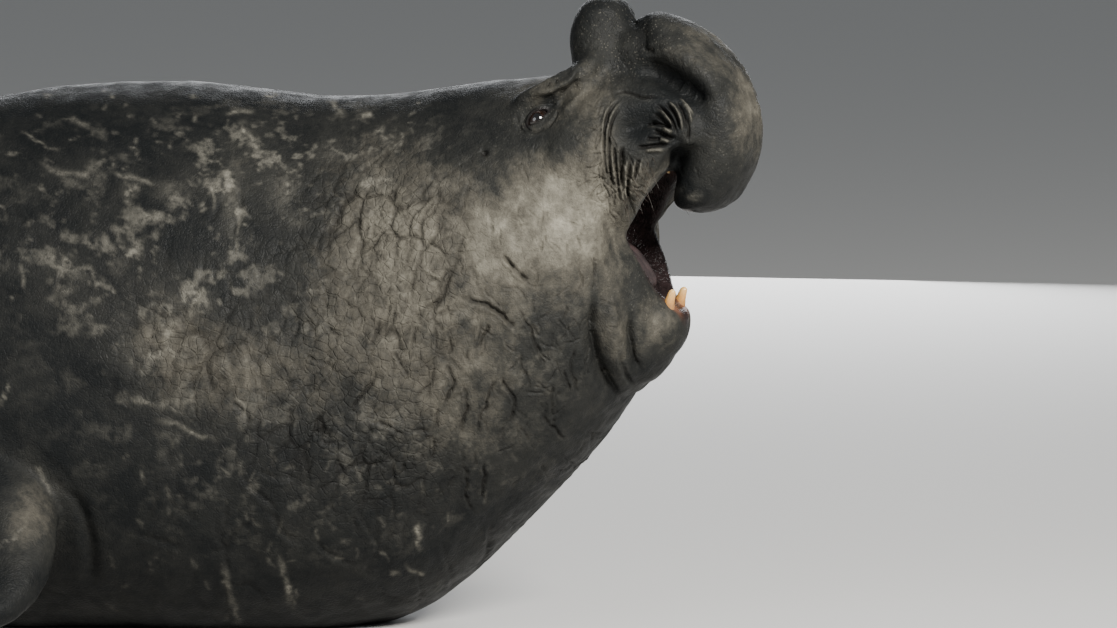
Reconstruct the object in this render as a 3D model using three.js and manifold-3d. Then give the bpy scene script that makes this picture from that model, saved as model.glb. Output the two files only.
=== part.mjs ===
// A life-size bull elephant seal, bellowing: chest down, neck thrown back, mouth wide open and nose inflated.
// Millimetres, +Z up. +X runs to the head and +Y to the animal's left. The origin is on the floor in the
// middle of the belly's flat, level with the fore flippers.
import * as THREE from "three";
import { LoftGeometry } from "three/addons/geometries/LoftGeometry.js";
import { mergeVertices } from "three/addons/utils/BufferGeometryUtils.js";
import Module from "manifold-3d";

const wasm = await Module();
wasm.setup();

// Driving sizes
const GAP = 0.3; // between touching pieces
const HEAD_TURN = THREE.MathUtils.degToRad(10); // the head looks this far to its right
const TURN_FROM = 500; // the neck's turn starts and ends at these stations along the body
const TURN_TO = 1250;
const TURN_AXIS = 875;
const SINK = 60; // how far the round belly would reach below the floor if it were not flattened
const EYE_RADIUS = 30;
const EYE_AT = [1341, 1197];
const EYE_SINK = 21; // the eyeball's centre lies this far inside the skin
const EAR_AT = [1236, 1092];
const RINGS = 2; // rings to each station of a form, unless it says otherwise
const FINENESS = 0.08; // detail smaller than this is dropped
const WELD = 1e-3; // corners this close are one
const FAR = 2000; // reach of a cut beyond the body

// Colours of the real skin, horn, teeth and eye
const skinMaterial = new THREE.MeshStandardMaterial({ color: 0x4a453f, roughness: 0.7, metalness: 0 });
const darkSkinMaterial = new THREE.MeshStandardMaterial({ color: 0x35322f, roughness: 0.6, metalness: 0 });
const tongueMaterial = new THREE.MeshStandardMaterial({ color: 0x5e3f3c, roughness: 0.4, metalness: 0 });
const toothMaterial = new THREE.MeshStandardMaterial({ color: 0xc79a55, roughness: 0.35, metalness: 0 });
const eyeMaterial = new THREE.MeshStandardMaterial({ color: 0x0c0a09, roughness: 0.08, metalness: 0 });
const hornMaterial = new THREE.MeshStandardMaterial({ color: 0x1d1a18, roughness: 0.45, metalness: 0 });

const vector = (p) => new THREE.Vector3(...p);
const rise = (x, from, to) => THREE.MathUtils.smoothstep(x, from, to);

// The neck's turn: a point past TURN_FROM swings about a vertical axis, by the full angle from TURN_TO on.
function turned(p) {
  const angle = -HEAD_TURN * rise(p.x, TURN_FROM, TURN_TO);
  const axis = new THREE.Vector3(TURN_AXIS, 0, 0);
  return p.clone().sub(axis).applyAxisAngle(new THREE.Vector3(0, 0, 1), angle).add(axis);
}

// One closed ring about a centre: `across` reaches its side, `up` and `down` its top and bottom.
// A fullness of 2 is an ellipse, and more is squarer.
function ring({ centre, across, up, down, full }, around) {
  return Array.from({ length: around }, (_, i) => {
    const angle = (i / around) * 2 * Math.PI;
    const [c, s] = [Math.cos(angle), Math.sin(angle)];
    const side = Math.sign(c) * Math.abs(c) ** (2 / full);
    const height = Math.abs(s) ** (2 / full);
    return centre.clone().addScaledVector(across, side).addScaledVector(s > 0 ? up : down, height);
  });
}

// Rings that shrink to a rounded end, `length` beyond the last ring.
function roundedEnd(points, before, length, rows) {
  const mean = (list) => list.reduce((sum, p) => sum.add(p), new THREE.Vector3()).divideScalar(list.length);
  const centre = mean(points);
  const axis = centre.clone().sub(mean(before)).normalize();
  return Array.from({ length: rows }, (_, i) => {
    const angle = ((i + 1) / (rows + 0.5)) * (Math.PI / 2);
    const end = centre.clone().addScaledVector(axis, length * Math.sin(angle));
    return points.map((p) => p.clone().sub(centre).multiplyScalar(Math.cos(angle)).add(end));
  });
}

// A closed form through stations. The numbers of each are blended by a cubic from one to the next, and
// `measure` turns them into a ring. `relief(t, angle)` raises or sinks the skin.
function loft(stations, measure, { rows = RINGS, around, caps, capRows = 3, relief, grow = 0 }) {
  const size = stations[0].length;
  const blend = new THREE.CubicInterpolant(stations.map((_, i) => i), stations.flat(), size);
  const count = (stations.length - 1) * rows;
  const sections = [];
  for (let i = 0; i <= count; i++) {
    const t = i / rows;
    const points = ring(measure(Array.from(blend.evaluate(t))), around);
    const centre = points.reduce((sum, p) => sum.add(p), new THREE.Vector3()).divideScalar(around);
    points.forEach((p, k) => {
      const lift = grow + (relief ? relief(t, (k / around) * 2 * Math.PI) : 0);
      p.addScaledVector(p.clone().sub(centre).normalize(), lift);
    });
    sections.push(points);
  }
  const first = roundedEnd(sections[0], sections[1], caps[0] + grow, capRows);
  const last = roundedEnd(sections.at(-1), sections.at(-2), caps[1] + grow, capRows);
  return new LoftGeometry([...first.reverse(), ...sections, ...last], { capStart: true, capEnd: true });
}

// A ring of the body, trunk or jaw: top and bottom points in the mid plane, half width, the height of the
// widest level as a share of the whole, and fullness.
function bodyRing([topX, topZ, bottomX, bottomZ, half, level, full]) {
  const top = new THREE.Vector3(topX, 0, topZ);
  const bottom = new THREE.Vector3(bottomX, 0, bottomZ);
  const centre = bottom.clone().lerp(top, level);
  const across = new THREE.Vector3(0, half, 0);
  return { centre, across, up: top.sub(centre), down: bottom.sub(centre), full };
}

// A ring of a limb or digit: its centre, the half chord to its leading edge, and its half thickness.
function limbRing([x, y, z, chordX, chordY, chordZ, thickX, thickY, thickZ, full]) {
  const thick = new THREE.Vector3(thickX, thickY, thickZ);
  return {
    centre: new THREE.Vector3(x, y, z),
    across: new THREE.Vector3(chordX, chordY, chordZ),
    up: thick,
    down: thick.clone().negate(),
    full,
  };
}

// A closed solid from a geometry, with its faces pointing out. It turns with the neck unless it is a cut.
function solid(geometry, place = turned) {
  const bare = new THREE.BufferGeometry().copy(geometry);
  bare.deleteAttribute("normal");
  bare.deleteAttribute("uv");
  const merged = mergeVertices(bare, WELD);
  const places = merged.getAttribute("position");
  for (let i = 0; i < places.count; i++) {
    places.setXYZ(i, ...place(new THREE.Vector3().fromBufferAttribute(places, i)));
  }
  const triVerts = new Uint32Array(merged.index.array);
  const mesh = () => new wasm.Mesh({ numProp: 3, vertProperties: places.array, triVerts });
  const made = new wasm.Manifold(mesh());
  if (made.volume() > 0) return made;
  triVerts.reverse();
  return new wasm.Manifold(mesh());
}

const solids = (geometries) => geometries.map((geometry) => solid(geometry));
const union = (made) => made.reduce((sum, one) => sum.add(one));
const without = (from, made) => made.reduce((left, one) => left.subtract(one), from);
const mirrored = (geometry) => new THREE.BufferGeometry().copy(geometry).scale(1, -1, 1);

// Body and neck: [top x, z, bottom x, z, half width, widest level, fullness], from the tail to the face
const BODY = [
  [-2990, 150, -3000, 20, 55, 0.45, 2],
  [-2830, 235, -2840, -5, 125, 0.45, 2],
  [-2560, 360, -2570, -25, 205, 0.43, 2.1],
  [-2200, 515, -2200, -45, 305, 0.42, 2.15],
  [-1800, 685, -1800, -55, 405, 0.41, 2.2],
  [-1400, 850, -1400, -SINK, 490, 0.4, 2.2],
  [-1000, 995, -1000, -SINK, 545, 0.4, 2.2],
  [-600, 1110, -600, -SINK, 575, 0.4, 2.2],
  [-220, 1180, -220, -SINK, 575, 0.4, 2.2],
  [130, 1240, 150, -SINK, 560, 0.4, 2.15],
  [450, 1255, 500, -55, 535, 0.4, 2.1],
  [700, 1227, 790, -35, 505, 0.42, 2.05],
  [887, 1227, 1010, 41, 465, 0.44, 2],
  [1040, 1249, 1165, 175, 420, 0.46, 2],
  [1170, 1268, 1300, 308, 370, 0.48, 2.05],
  [1280, 1274, 1405, 420, 322, 0.5, 2.1],
  [1368, 1285, 1480, 520, 275, 0.52, 2.15],
  [1436, 1290, 1522, 600, 226, 0.53, 2.15],
];
// Upper lip and muzzle, then the lower jaw
const MUZZLE = [
  [1390, 1262, 1400, 840, 262, 0.5, 2.2],
  [1470, 1298, 1500, 900, 232, 0.5, 2.3],
  [1550, 1302, 1566, 945, 200, 0.5, 2.3],
  [1628, 1284, 1632, 998, 174, 0.48, 2.4],
  [1694, 1250, 1690, 1058, 152, 0.48, 2.4],
  [1734, 1206, 1724, 1110, 122, 0.5, 2.3],
];
const JAW = [
  [1400, 1010, 1425, 500, 262, 0.52, 2.2],
  [1492, 968, 1490, 538, 212, 0.56, 2.3],
  [1546, 896, 1536, 568, 150, 0.54, 2.4],
  [1578, 815, 1572, 600, 102, 0.5, 2.4],
  [1598, 785, 1600, 640, 80, 0.5, 2.2],
];
const THROAT_FOLDS = [1, 2]; // the skin folds that ring the jaw, as places along it
const FOLD_DEPTH = 16;
const FOLD_WIDTH = 0.2;
// The inflated nose: a knob over the brow, and a hook that hangs over the mouth (outer and inner sides)
const KNOB = [
  [1395, 1230, 1560, 1235, 125, 0.5, 2.2],
  [1364, 1318, 1530, 1322, 114, 0.5, 2.1],
  [1354, 1372, 1510, 1376, 105, 0.5, 2],
  [1370, 1416, 1498, 1418, 86, 0.5, 2],
];
const HOOK = [
  [1490, 1385, 1520, 1230, 95, 0.5, 2],
  [1560, 1426, 1590, 1258, 106, 0.5, 2.1],
  [1645, 1407, 1640, 1240, 113, 0.5, 2.2],
  [1727, 1346, 1668, 1205, 119, 0.5, 2.2],
  [1782, 1262, 1672, 1165, 123, 0.5, 2.2],
  [1808, 1160, 1655, 1122, 125, 0.5, 2.2],
  [1793, 1072, 1630, 1072, 121, 0.5, 2.2],
  [1760, 1012, 1612, 1012, 110, 0.5, 2.1],
];
const NOSE_CLEFT = 9; // depth of the groove down the middle of the nose
// The gape, as seen from the side: the corner of the lips, then the upper lip's edge and the lower lip's
const GAPE = [
  [1536, 944],
  [1564, 1004],
  [1600, 1052],
  [1632, 1098],
  [1664, 1130],
  [1780, 1150],
  [1780, 728],
  [1650, 740],
  [1612, 753],
  [1583, 803],
  [1561, 845],
  [1543, 891],
];
const GAPE_WIDTH = 800;
// The throat and the hollow of the mouth behind the lips, and the tongue on its floor
const MOUTH = [
  [1335, 985, 1335, 905, 45, 0.5, 2],
  [1440, 1014, 1440, 868, 84, 0.5, 2.2],
  [1512, 1048, 1512, 830, 90, 0.5, 2.4],
  [1572, 1092, 1558, 780, 82, 0.5, 2.4],
  [1616, 1150, 1594, 756, 58, 0.5, 2.3],
];
const TONGUE = [
  [1370, 930, 1370, 870, 30, 0.5, 2.2],
  [1445, 918, 1445, 850, 52, 0.5, 2.4],
  [1510, 884, 1500, 820, 56, 0.5, 2.4],
  [1556, 824, 1536, 782, 42, 0.5, 2.2],
];
// The ridge of skin from over the eye to the knob: centre, half chord, half thickness, fullness
const BROW = [
  [1290, -190, 1238, 0, 18, 20, 8, -16, 10, 2],
  [1345, -186, 1252, 0, 18, 26, 10, -22, 12, 2],
  [1398, -158, 1272, 0, 18, 32, 12, -26, 12, 2],
  [1450, -116, 1304, 0, 18, 38, 14, -30, 12, 2],
];

const CLEFT_WIDTH = 0.3;
// A fold rings the jaw's sides and underside, and fades out at the lip.
function foldRelief(t, angle) {
  const below = rise(0.75 - Math.sin(angle), 0, 0.5);
  const sunk = (at) => Math.exp(-(((t - at) / FOLD_WIDTH) ** 2));
  return -FOLD_DEPTH * below * THROAT_FOLDS.reduce((sum, at) => sum + sunk(at), 0);
}
// The cleft runs down the nose's outer side.
function cleftRelief(t, angle) {
  const off = Math.abs(angle - Math.PI / 2) / CLEFT_WIDTH;
  return -NOSE_CLEFT * Math.exp(-(off ** 2)) * rise(t, 1.5, 4);
}

const BODY_SHAPE = { around: 30, caps: [40, 44] };
const bodyForm = (grow = 0) => solid(loft(BODY, bodyRing, { ...BODY_SHAPE, grow }));
const muzzleForm = (grow = 0) => solid(loft(MUZZLE, bodyRing, { around: 24, caps: [10, 40], grow }));
const jawForm = () => solid(loft(JAW, bodyRing, { rows: 4, around: 24, caps: [10, 40], relief: foldRelief }));
const knobForm = solid(loft(KNOB, bodyRing, { around: 18, caps: [10, 42] }));
const hookForm = solid(loft(HOOK, bodyRing, { around: 22, caps: [10, 48], relief: cleftRelief }));
const mouthForm = (grow = 0) => solid(loft(MOUTH, bodyRing, { around: 14, caps: [10, 14], grow }));
const gapeShape = new THREE.Shape(GAPE.map((p) => new THREE.Vector2(...p)));
const gapeForm = solid(
  new THREE.ExtrudeGeometry(gapeShape, { depth: GAPE_WIDTH, bevelEnabled: false })
    .rotateX(Math.PI / 2)
    .translate(0, GAPE_WIDTH / 2, 0),
);
const browForm = (grow = 0) => {
  const right = loft(BROW, limbRing, { around: 12, caps: [20, 16], grow });
  return union([solid(right), solid(mirrored(right))]);
};

// Eyes: found on the skin by a ray from the side
const ray = new THREE.Raycaster();
const probed = new THREE.MeshBasicMaterial({ side: THREE.DoubleSide });
const skinMesh = new THREE.Mesh(loft(BODY, bodyRing, BODY_SHAPE), probed);
function onSkin([x, z]) {
  ray.set(new THREE.Vector3(x, -FAR, z), new THREE.Vector3(0, 1, 0));
  const hit = ray.intersectObject(skinMesh)[0];
  return { place: hit.point, out: hit.face.normal.clone().multiplyScalar(hit.face.normal.y > 0 ? -1 : 1) };
}

// A geometry made round +Z is set at a place on the right side, its +Z along `out`, and spun by `spin`.
function setOn(geometry, place, out, spin = 0) {
  const side = new THREE.Vector3().crossVectors(new THREE.Vector3(0, 0, 1), out).normalize();
  const up = new THREE.Vector3().crossVectors(out, side);
  return geometry
    .rotateZ(spin)
    .applyMatrix4(new THREE.Matrix4().makeBasis(side, up, out))
    .translate(...place);
}
const eye = onSkin(EYE_AT);
const eyeCentre = eye.place.clone().addScaledVector(eye.out, -EYE_SINK);
const eyeGeometry = (grow = 0) => new THREE.SphereGeometry(EYE_RADIUS + grow, 12, 9).translate(...eyeCentre);
const LID_SPIN = THREE.MathUtils.degToRad(35); // the lids slant up to the front
const LID_RADIUS = 27;
const LID_THICK = 9;
const LID_LIFT = 1; // above the skin round it
const lidsGeometry = setOn(
  new THREE.TorusGeometry(LID_RADIUS, LID_THICK, 5, 14).scale(1.3, 0.86, 0.8),
  eye.place.clone().addScaledVector(eye.out, LID_LIFT),
  eye.out,
  LID_SPIN,
);
const EAR_RADII = [9, 5]; // at the skin, and inside
const EAR_DEPTH = 22;
const ear = onSkin(EAR_AT);
const earPit = setOn(
  new THREE.CylinderGeometry(...EAR_RADII, EAR_DEPTH * 2, 8).rotateX(Math.PI / 2).scale(1, 1.5, 1),
  ear.place,
  ear.out,
);
const bothSides = (geometry) => union([solid(geometry), solid(mirrored(geometry))]);

// Nostrils: two slits under the tip of the nose, opening down towards the mouth
const NOSTRIL_AT = [1668, -46, 974];
const NOSTRIL_RADII = [13, 20, 26];
const nostril = new THREE.SphereGeometry(1, 12, 8).scale(...NOSTRIL_RADII).translate(...NOSTRIL_AT);

// Teeth: [base, tip, radius at the gum] on the right side
const LOWER_CANINE = [[1604, -36, 706], [1616, -40, 796], 14];
const UPPER_CANINE = [[1576, -52, 1128], [1572, -56, 1052], 15];
const TOOTH_TIP = 4; // radius
const TOOTH_CURVE = -7; // the crown curves back a little
function tooth([base, tip, radius], grow = 0) {
  const [from, to] = [vector(base), vector(tip)];
  const lean = new THREE.Vector3(TOOTH_CURVE, 0, 0);
  const rings = [0, 0.35, 0.7, 0.92].map((t) => {
    const at = from.clone().lerp(to, t).addScaledVector(lean, Math.sin(t * Math.PI));
    const r = THREE.MathUtils.lerp(radius, TOOTH_TIP, t ** 1.7) + grow;
    return [at.x, at.y, at.z, r, 0, 0, 0, Math.sign(to.z - from.z) * r * 0.85, 0, 2];
  });
  return loft(rings, limbRing, { rows: 1, around: 8, caps: [4, 5 + grow], capRows: 2 });
}

// Flippers
// A digit of the fore flipper runs through three points.
function foreDigit({ points, across }) {
  const rings = points.map((p, i) => {
    const chord = across.clone().multiplyScalar(DIGIT_WIDTHS[i]);
    return [...p, ...chord, 0, 0, DIGIT_THICKS[i], 2.2];
  });
  return loft(rings, limbRing, { rows: 1, around: 8, caps: [4, 18], capRows: 2 });
}

// Fore flipper, right side: the upper arm comes out of the flank, bends at the wrist and lies on the floor.
const ARM = [
  [60, -430, 440, 165, 10, -55, 0, -78, 60, 2.2],
  [85, -545, 335, 170, -10, -45, 0, -72, 54, 2.2],
  [98, -640, 215, 165, -35, -35, -6, -60, 52, 2.2],
  [62, -722, 118, 150, -70, -15, -12, -40, 46, 2.3],
  [-30, -800, 60, 124, -95, 0, -8, -12, 42, 2.4],
  [-112, -868, 36, 100, -112, 0, 0, 0, 30, 2.5],
  [-172, -930, 22, 88, -118, 0, 0, 0, 18, 2.5],
  [-214, -978, 13, 74, -108, 0, 0, 0, 8, 2.4],
];
const DIGIT_LENGTHS = [250, 262, 240, 205, 165];
const DIGIT_WIDTHS = [30, 26, 20]; // half width at root, middle and tip
const DIGIT_THICKS = [26, 20, 13];
const DIGIT_HEIGHTS = [48, 30, 17]; // of its middle line above the floor
const CLAW_HEIGHT = 26;
const WRIST = [-70, -790]; // the digits fan out from here
const FAN_FROM = THREE.MathUtils.degToRad(-112); // heading of the first digit, seen from above
const FAN_STEP = THREE.MathUtils.degToRad(-13);
const PALM_SPREAD = 26;
function foreDigits() {
  return DIGIT_LENGTHS.map((length, i) => {
    const heading = FAN_FROM + FAN_STEP * i;
    const along = new THREE.Vector3(Math.cos(heading), Math.sin(heading), 0);
    const across = new THREE.Vector3(-along.y, along.x, 0);
    const root = new THREE.Vector3(...WRIST, 0).addScaledVector(across, (2 - i) * PALM_SPREAD);
    const at = (share, z) => root.clone().addScaledVector(along, length * share).setZ(z);
    return { along, across, points: DIGIT_HEIGHTS.map((z, k) => at(k / 2, z)), tip: at(1, CLAW_HEIGHT) };
  });
}
const CLAW_LENGTH = 46; // beyond the tip of the digit
function claw({ along, across, tip }, grow = 0) {
  const rings = [
    [-14, 9, 2],
    [8, 8, 4],
    [26, 6, 2],
    [CLAW_LENGTH - 8, 3, -4],
  ].map(([forward, r, lift]) => {
    const at = tip.clone().addScaledVector(along, forward);
    const chord = across.clone().multiplyScalar(r + grow);
    return [at.x, at.y, at.z + lift, ...chord, 0, 0, r * 0.8 + grow, 2];
  });
  return loft(rings, limbRing, { rows: 1, around: 6, caps: [3, 6], capRows: 1 });
}

// Hind flipper, right side: two long outer lobes and three short middle digits with a web, standing on edge
const HIND_ROOT = [-2900, -95, 105];
const HIND_LENGTHS = [500, 400, 350, 385, 480];
const HIND_WIDTHS = [44, 30, 28, 30, 42];
const HIND_FAN = THREE.MathUtils.degToRad(11);
const HIND_SPLAY = THREE.MathUtils.degToRad(12); // the flipper's outward heading
const HIND_ROLL = THREE.MathUtils.degToRad(38); // the sole turns this far from flat
const HIND_ANKLE = 48; // half height of the root
function hindPoint(length, fan, lift) {
  const flat = new THREE.Vector3(-length * Math.cos(fan), -length * Math.sin(fan), lift);
  return flat
    .applyAxisAngle(new THREE.Vector3(1, 0, 0), -HIND_ROLL)
    .applyAxisAngle(new THREE.Vector3(0, 0, 1), HIND_SPLAY)
    .add(vector(HIND_ROOT));
}
function hindForm() {
  const across = hindPoint(1, Math.PI / 2, 0).sub(hindPoint(0, 0, 0));
  const up = hindPoint(0, 0, 1).sub(hindPoint(0, 0, 0));
  const rowsOf = (list) =>
    list.map(([length, fan, half, thick]) => [
      ...hindPoint(length, fan, 0).toArray(),
      ...across.clone().multiplyScalar(half).toArray(),
      ...up.clone().multiplyScalar(thick).toArray(),
      2.2,
    ]);
  const shank = loft(
    rowsOf([
      [-150, 0, 62, HIND_ANKLE],
      [0, 0, 66, 44],
      [110, 0, 84, 30],
      [215, 0, 108, 15],
    ]),
    limbRing,
    { around: 12, caps: [10, 14], capRows: 2 },
  );
  const web = loft(
    rowsOf([
      [60, 0, 74, 12],
      [200, 0, 104, 8],
      [320, 0, 128, 5],
      [372, 0, 132, 3],
    ]),
    limbRing,
    { around: 12, caps: [6, 5], capRows: 1 },
  );
  const digits = HIND_LENGTHS.map((length, i) => {
    const fan = (i - 2) * HIND_FAN;
    const wide = HIND_WIDTHS[i];
    return loft(
      rowsOf([
        [70, fan * 0.7, wide * 0.7, 16],
        [length * 0.55, fan, wide * 0.85, 13],
        [length * 0.85, fan, wide, 9],
        [length, fan, wide * 0.7, 5],
      ]),
      limbRing,
      { rows: 1, around: 8, caps: [8, 22], capRows: 2 },
    );
  });
  return [shank, web, ...digits];
}

// Assembly
const floor = solid(new THREE.BoxGeometry(4 * FAR, 4 * FAR, FAR).translate(0, 0, -FAR / 2));
const eyes = bothSides(eyeGeometry(GAP));
const canines = [LOWER_CANINE, UPPER_CANINE];
const toothHoles = union(canines.map((c) => bothSides(tooth(c, GAP))));
const tongueForm = solid(loft(TONGUE, bodyRing, { around: 14, caps: [14, 12] }));

let flesh = union([bodyForm(), muzzleForm(), jawForm(), browForm(), bothSides(lidsGeometry)]);
flesh = without(flesh, [mouthForm(), gapeForm, eyes, bothSides(earPit), floor]);
flesh = flesh.subtract(toothHoles);

const legs = {};
const arm = loft(ARM, limbRing, { rows: 2, around: 16, caps: [20, 8], capRows: 2 });
const digits = foreDigits();
const claws = digits.map((digit) => claw(digit));
const clawHoles = union(solids(digits.map((digit) => claw(digit, GAP))));
const bodyGrown = bodyForm(GAP);
const foreFlipper = union(solids([arm, ...digits.map(foreDigit)])).subtract(clawHoles);
const hindFlipper = union(solids(hindForm()));
for (const [name, made] of [["foreflipper", foreFlipper], ["hindflipper", hindFlipper]]) {
  legs[`${name}_right`] = without(made, [bodyGrown, floor]);
  legs[`${name}_left`] = without(made.mirror([0, 1, 0]), [bodyGrown, floor]);
}

// All that lies ahead of a plane square to the mid plane, through two points of it. It reaches `above` over
// the top point, and its face is moved back by `back`.
function aheadOf([topX, topZ], [bottomX, bottomZ], turn, above, back) {
  const height = Math.hypot(topX - bottomX, topZ - bottomZ);
  const lean = Math.atan2(topX - bottomX, topZ - bottomZ);
  const block = new THREE.BoxGeometry(4 * FAR, 2 * FAR, height + FAR + above)
    .translate(2 * FAR, 0, (above - FAR) / 2)
    .rotateY(lean)
    .translate((topX + bottomX) / 2 - TURN_AXIS - back, 0, (topZ + bottomZ) / 2)
    .rotateZ(-turn)
    .translate(TURN_AXIS, 0, 0);
  return solid(block, (p) => p);
}
// Splits a solid at a plane into what lies behind it and what lies ahead of it.
function split(from, top, bottom, turn = 0, above = FAR) {
  const behind = from.subtract(aheadOf(top, bottom, turn, above, GAP / 2));
  return [behind, from.intersect(aheadOf(top, bottom, turn, above, -GAP / 2))];
}
function largest(made) {
  return made.decompose().reduce((a, b) => (b.volume() > a.volume() ? b : a)).simplify(FINENESS);
}

const nodes = {};
let rest;
[nodes.tail, rest] = split(flesh, [-2860, 300], [-2860, 0]);
[nodes.hips, rest] = split(rest, [-2200, 600], [-2200, 0]);
[nodes.loins, rest] = split(rest, [-1450, 900], [-1450, 0]);
[nodes.belly, rest] = split(rest, [-600, 1150], [-600, 0]);
[nodes.chest, rest] = split(rest, [360, 1255], [420, 0]);
[nodes.neck, rest] = split(rest, [1075, 1250], [1400, 430], HEAD_TURN);
[nodes.head, nodes.lower_jaw] = split(rest, [1556, 930], [1430, 330], HEAD_TURN, 0);

const group = new THREE.Group();
function add(name, made, material) {
  const { vertProperties, triVerts, numProp } = largest(made).getMesh();
  const geometry = new THREE.BufferGeometry()
    .setAttribute("position", new THREE.BufferAttribute(vertProperties.filter((_, i) => i % numProp < 3), 3))
    .setIndex(new THREE.BufferAttribute(triVerts, 1));
  geometry.computeVertexNormals();
  const mesh = new THREE.Mesh(geometry, material);
  mesh.name = name;
  group.add(mesh);
}
function addPair(name, geometry, material, end = "") {
  add(`${name}_right${end}`, solid(geometry), material);
  add(`${name}_left${end}`, solid(mirrored(geometry)), material);
}
for (const [name, made] of Object.entries(nodes)) add(name, made, skinMaterial);
const nose = union([knobForm, hookForm]);
const underNose = muzzleForm(GAP).subtract(gapeForm.translate([GAP, 0, -GAP]));
add("proboscis", without(nose, [bodyGrown, underNose, browForm(GAP), bothSides(nostril)]), darkSkinMaterial);
add("tongue", tongueForm.intersect(mouthForm(-GAP)), tongueMaterial);
addPair("eye", eyeGeometry(), eyeMaterial);
addPair("lower_canine", tooth(LOWER_CANINE), toothMaterial);
addPair("upper_canine", tooth(UPPER_CANINE), toothMaterial);
for (const [name, made] of Object.entries(legs)) add(name, made, darkSkinMaterial);
claws.forEach((geometry, i) => addPair("claw", geometry, hornMaterial, `_${i + 1}`));

export default group;
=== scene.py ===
"""A bull elephant seal, life size, bellowing with its nose inflated: one scarred, cracked hide over the
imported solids, with wet eyes, stained teeth, a tongue, claws and whiskers, on a pale studio floor."""
import math

import bmesh
import bpy
import numpy as np
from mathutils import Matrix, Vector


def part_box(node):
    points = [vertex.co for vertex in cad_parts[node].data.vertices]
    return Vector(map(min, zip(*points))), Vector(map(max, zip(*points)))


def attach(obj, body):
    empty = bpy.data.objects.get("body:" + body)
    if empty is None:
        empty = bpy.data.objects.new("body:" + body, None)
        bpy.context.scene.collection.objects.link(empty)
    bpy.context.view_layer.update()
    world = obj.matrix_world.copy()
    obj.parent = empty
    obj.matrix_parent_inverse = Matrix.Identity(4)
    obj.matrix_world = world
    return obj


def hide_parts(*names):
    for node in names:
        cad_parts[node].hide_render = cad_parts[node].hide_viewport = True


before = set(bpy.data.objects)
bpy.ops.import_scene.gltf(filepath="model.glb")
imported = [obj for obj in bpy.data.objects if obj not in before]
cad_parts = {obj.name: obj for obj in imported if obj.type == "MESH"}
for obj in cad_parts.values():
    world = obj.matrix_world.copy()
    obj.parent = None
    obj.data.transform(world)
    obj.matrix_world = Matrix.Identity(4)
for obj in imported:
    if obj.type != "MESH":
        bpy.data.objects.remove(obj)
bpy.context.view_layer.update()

import openvdb
from mathutils import Vector
from mathutils.bvhtree import BVHTree


# The camera: where the picture was taken from
TARGET = np.array([1.304, 0.0, 0.722])
CAMERA_DISTANCE = 18.0
CAMERA_AZIMUTH = math.radians(10)
CAMERA_ELEVATION = math.radians(5)
METRES_PER_PIXEL = 0.0023  # at the target
PICTURE = (1117, 628)
SENSOR = 36.0
TO_CAMERA = np.array([
    math.sin(CAMERA_AZIMUTH) * math.cos(CAMERA_ELEVATION),
    -math.cos(CAMERA_AZIMUTH) * math.cos(CAMERA_ELEVATION),
    math.sin(CAMERA_ELEVATION),
])
CAMERA_RIGHT = np.array([math.cos(CAMERA_AZIMUTH), math.sin(CAMERA_AZIMUTH), 0.0])
CAMERA_UP = np.cross(TO_CAMERA, CAMERA_RIGHT)

# The neck's turn, as the solids have it
HEAD_TURN = math.radians(10)
TURN_FROM, TURN_TO, TURN_AXIS = 0.5, 1.25, 0.875
TURN_BACK_ROUNDS = 6  # turning back finds its angle step by step

FLESH = [
    "tail", "hips", "loins", "belly", "chest", "neck", "head", "lower_jaw", "proboscis",
    "foreflipper_right", "foreflipper_left", "hindflipper_right", "hindflipper_left",
]


def smoothstep(x, low, high):
    t = np.clip((x - low) / (high - low), 0, 1)
    return t * t * (3 - 2 * t)


def bell(x, width):
    return np.exp(-((x / width) ** 2))


def swing(points, sign=1):
    """Turns points of the straight animal with its neck, or back again with sign -1."""
    x = points[:, 0].copy()
    for _ in range(1 if sign > 0 else TURN_BACK_ROUNDS):
        angle = -sign * HEAD_TURN * smoothstep(x, TURN_FROM, TURN_TO)
        out = turned(points - (TURN_AXIS, 0, 0), angle) + (TURN_AXIS, 0, 0)
        x = out[:, 0]
    return out


def turned(vectors, angle):
    """Vectors turned about the vertical."""
    c, s = np.cos(angle), np.sin(angle)
    x, y, z = vectors.T
    return np.stack([x * c - y * s, x * s + y * c, z], 1)


def picture_place(points):
    """Where points of the near side are seen, in the picture's pixels."""
    from_camera = points - (TARGET + TO_CAMERA * CAMERA_DISTANCE)
    depth = -(from_camera @ TO_CAMERA)
    scale = CAMERA_DISTANCE / METRES_PER_PIXEL / depth
    across = PICTURE[0] / 2 + from_camera @ CAMERA_RIGHT * scale
    down = PICTURE[1] / 2 - from_camera @ CAMERA_UP * scale
    return np.stack([across, down], 1)


def noise(points, size, seed=0):
    """Smooth noise from -1 to 1 whose lumps are about `size` metres, or one size for each axis."""
    p = points / np.asarray(size)
    cell = np.floor(p).astype(np.int64)
    f = p - cell
    f = f * f * f * (f * (f * 6 - 15) + 10)
    total = np.zeros(len(points))
    for corner in range(8):
        step = np.array([corner & 1, corner >> 1 & 1, corner >> 2])
        c = cell + step
        h = (c[:, 0] * 73856093) ^ (c[:, 1] * 19349663) ^ (c[:, 2] * 83492791) ^ (seed * 7919 + 13)
        h = ((h ^ (h >> 13)) * 1274126177) & 0x7FFFFFFF
        h = ((h ^ (h >> 15)) * 668265263) & 0x7FFFFFFF
        weight = np.prod(np.where(step == 1, f, 1 - f), axis=1)
        total += weight * ((h >> 7) & 0xFFFF) / 32767.5
    return total - 1


# Mesh work
def new_object(name, mesh):
    thing = bpy.data.objects.new(name, mesh)
    bpy.context.scene.collection.objects.link(thing)
    return thing


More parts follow.
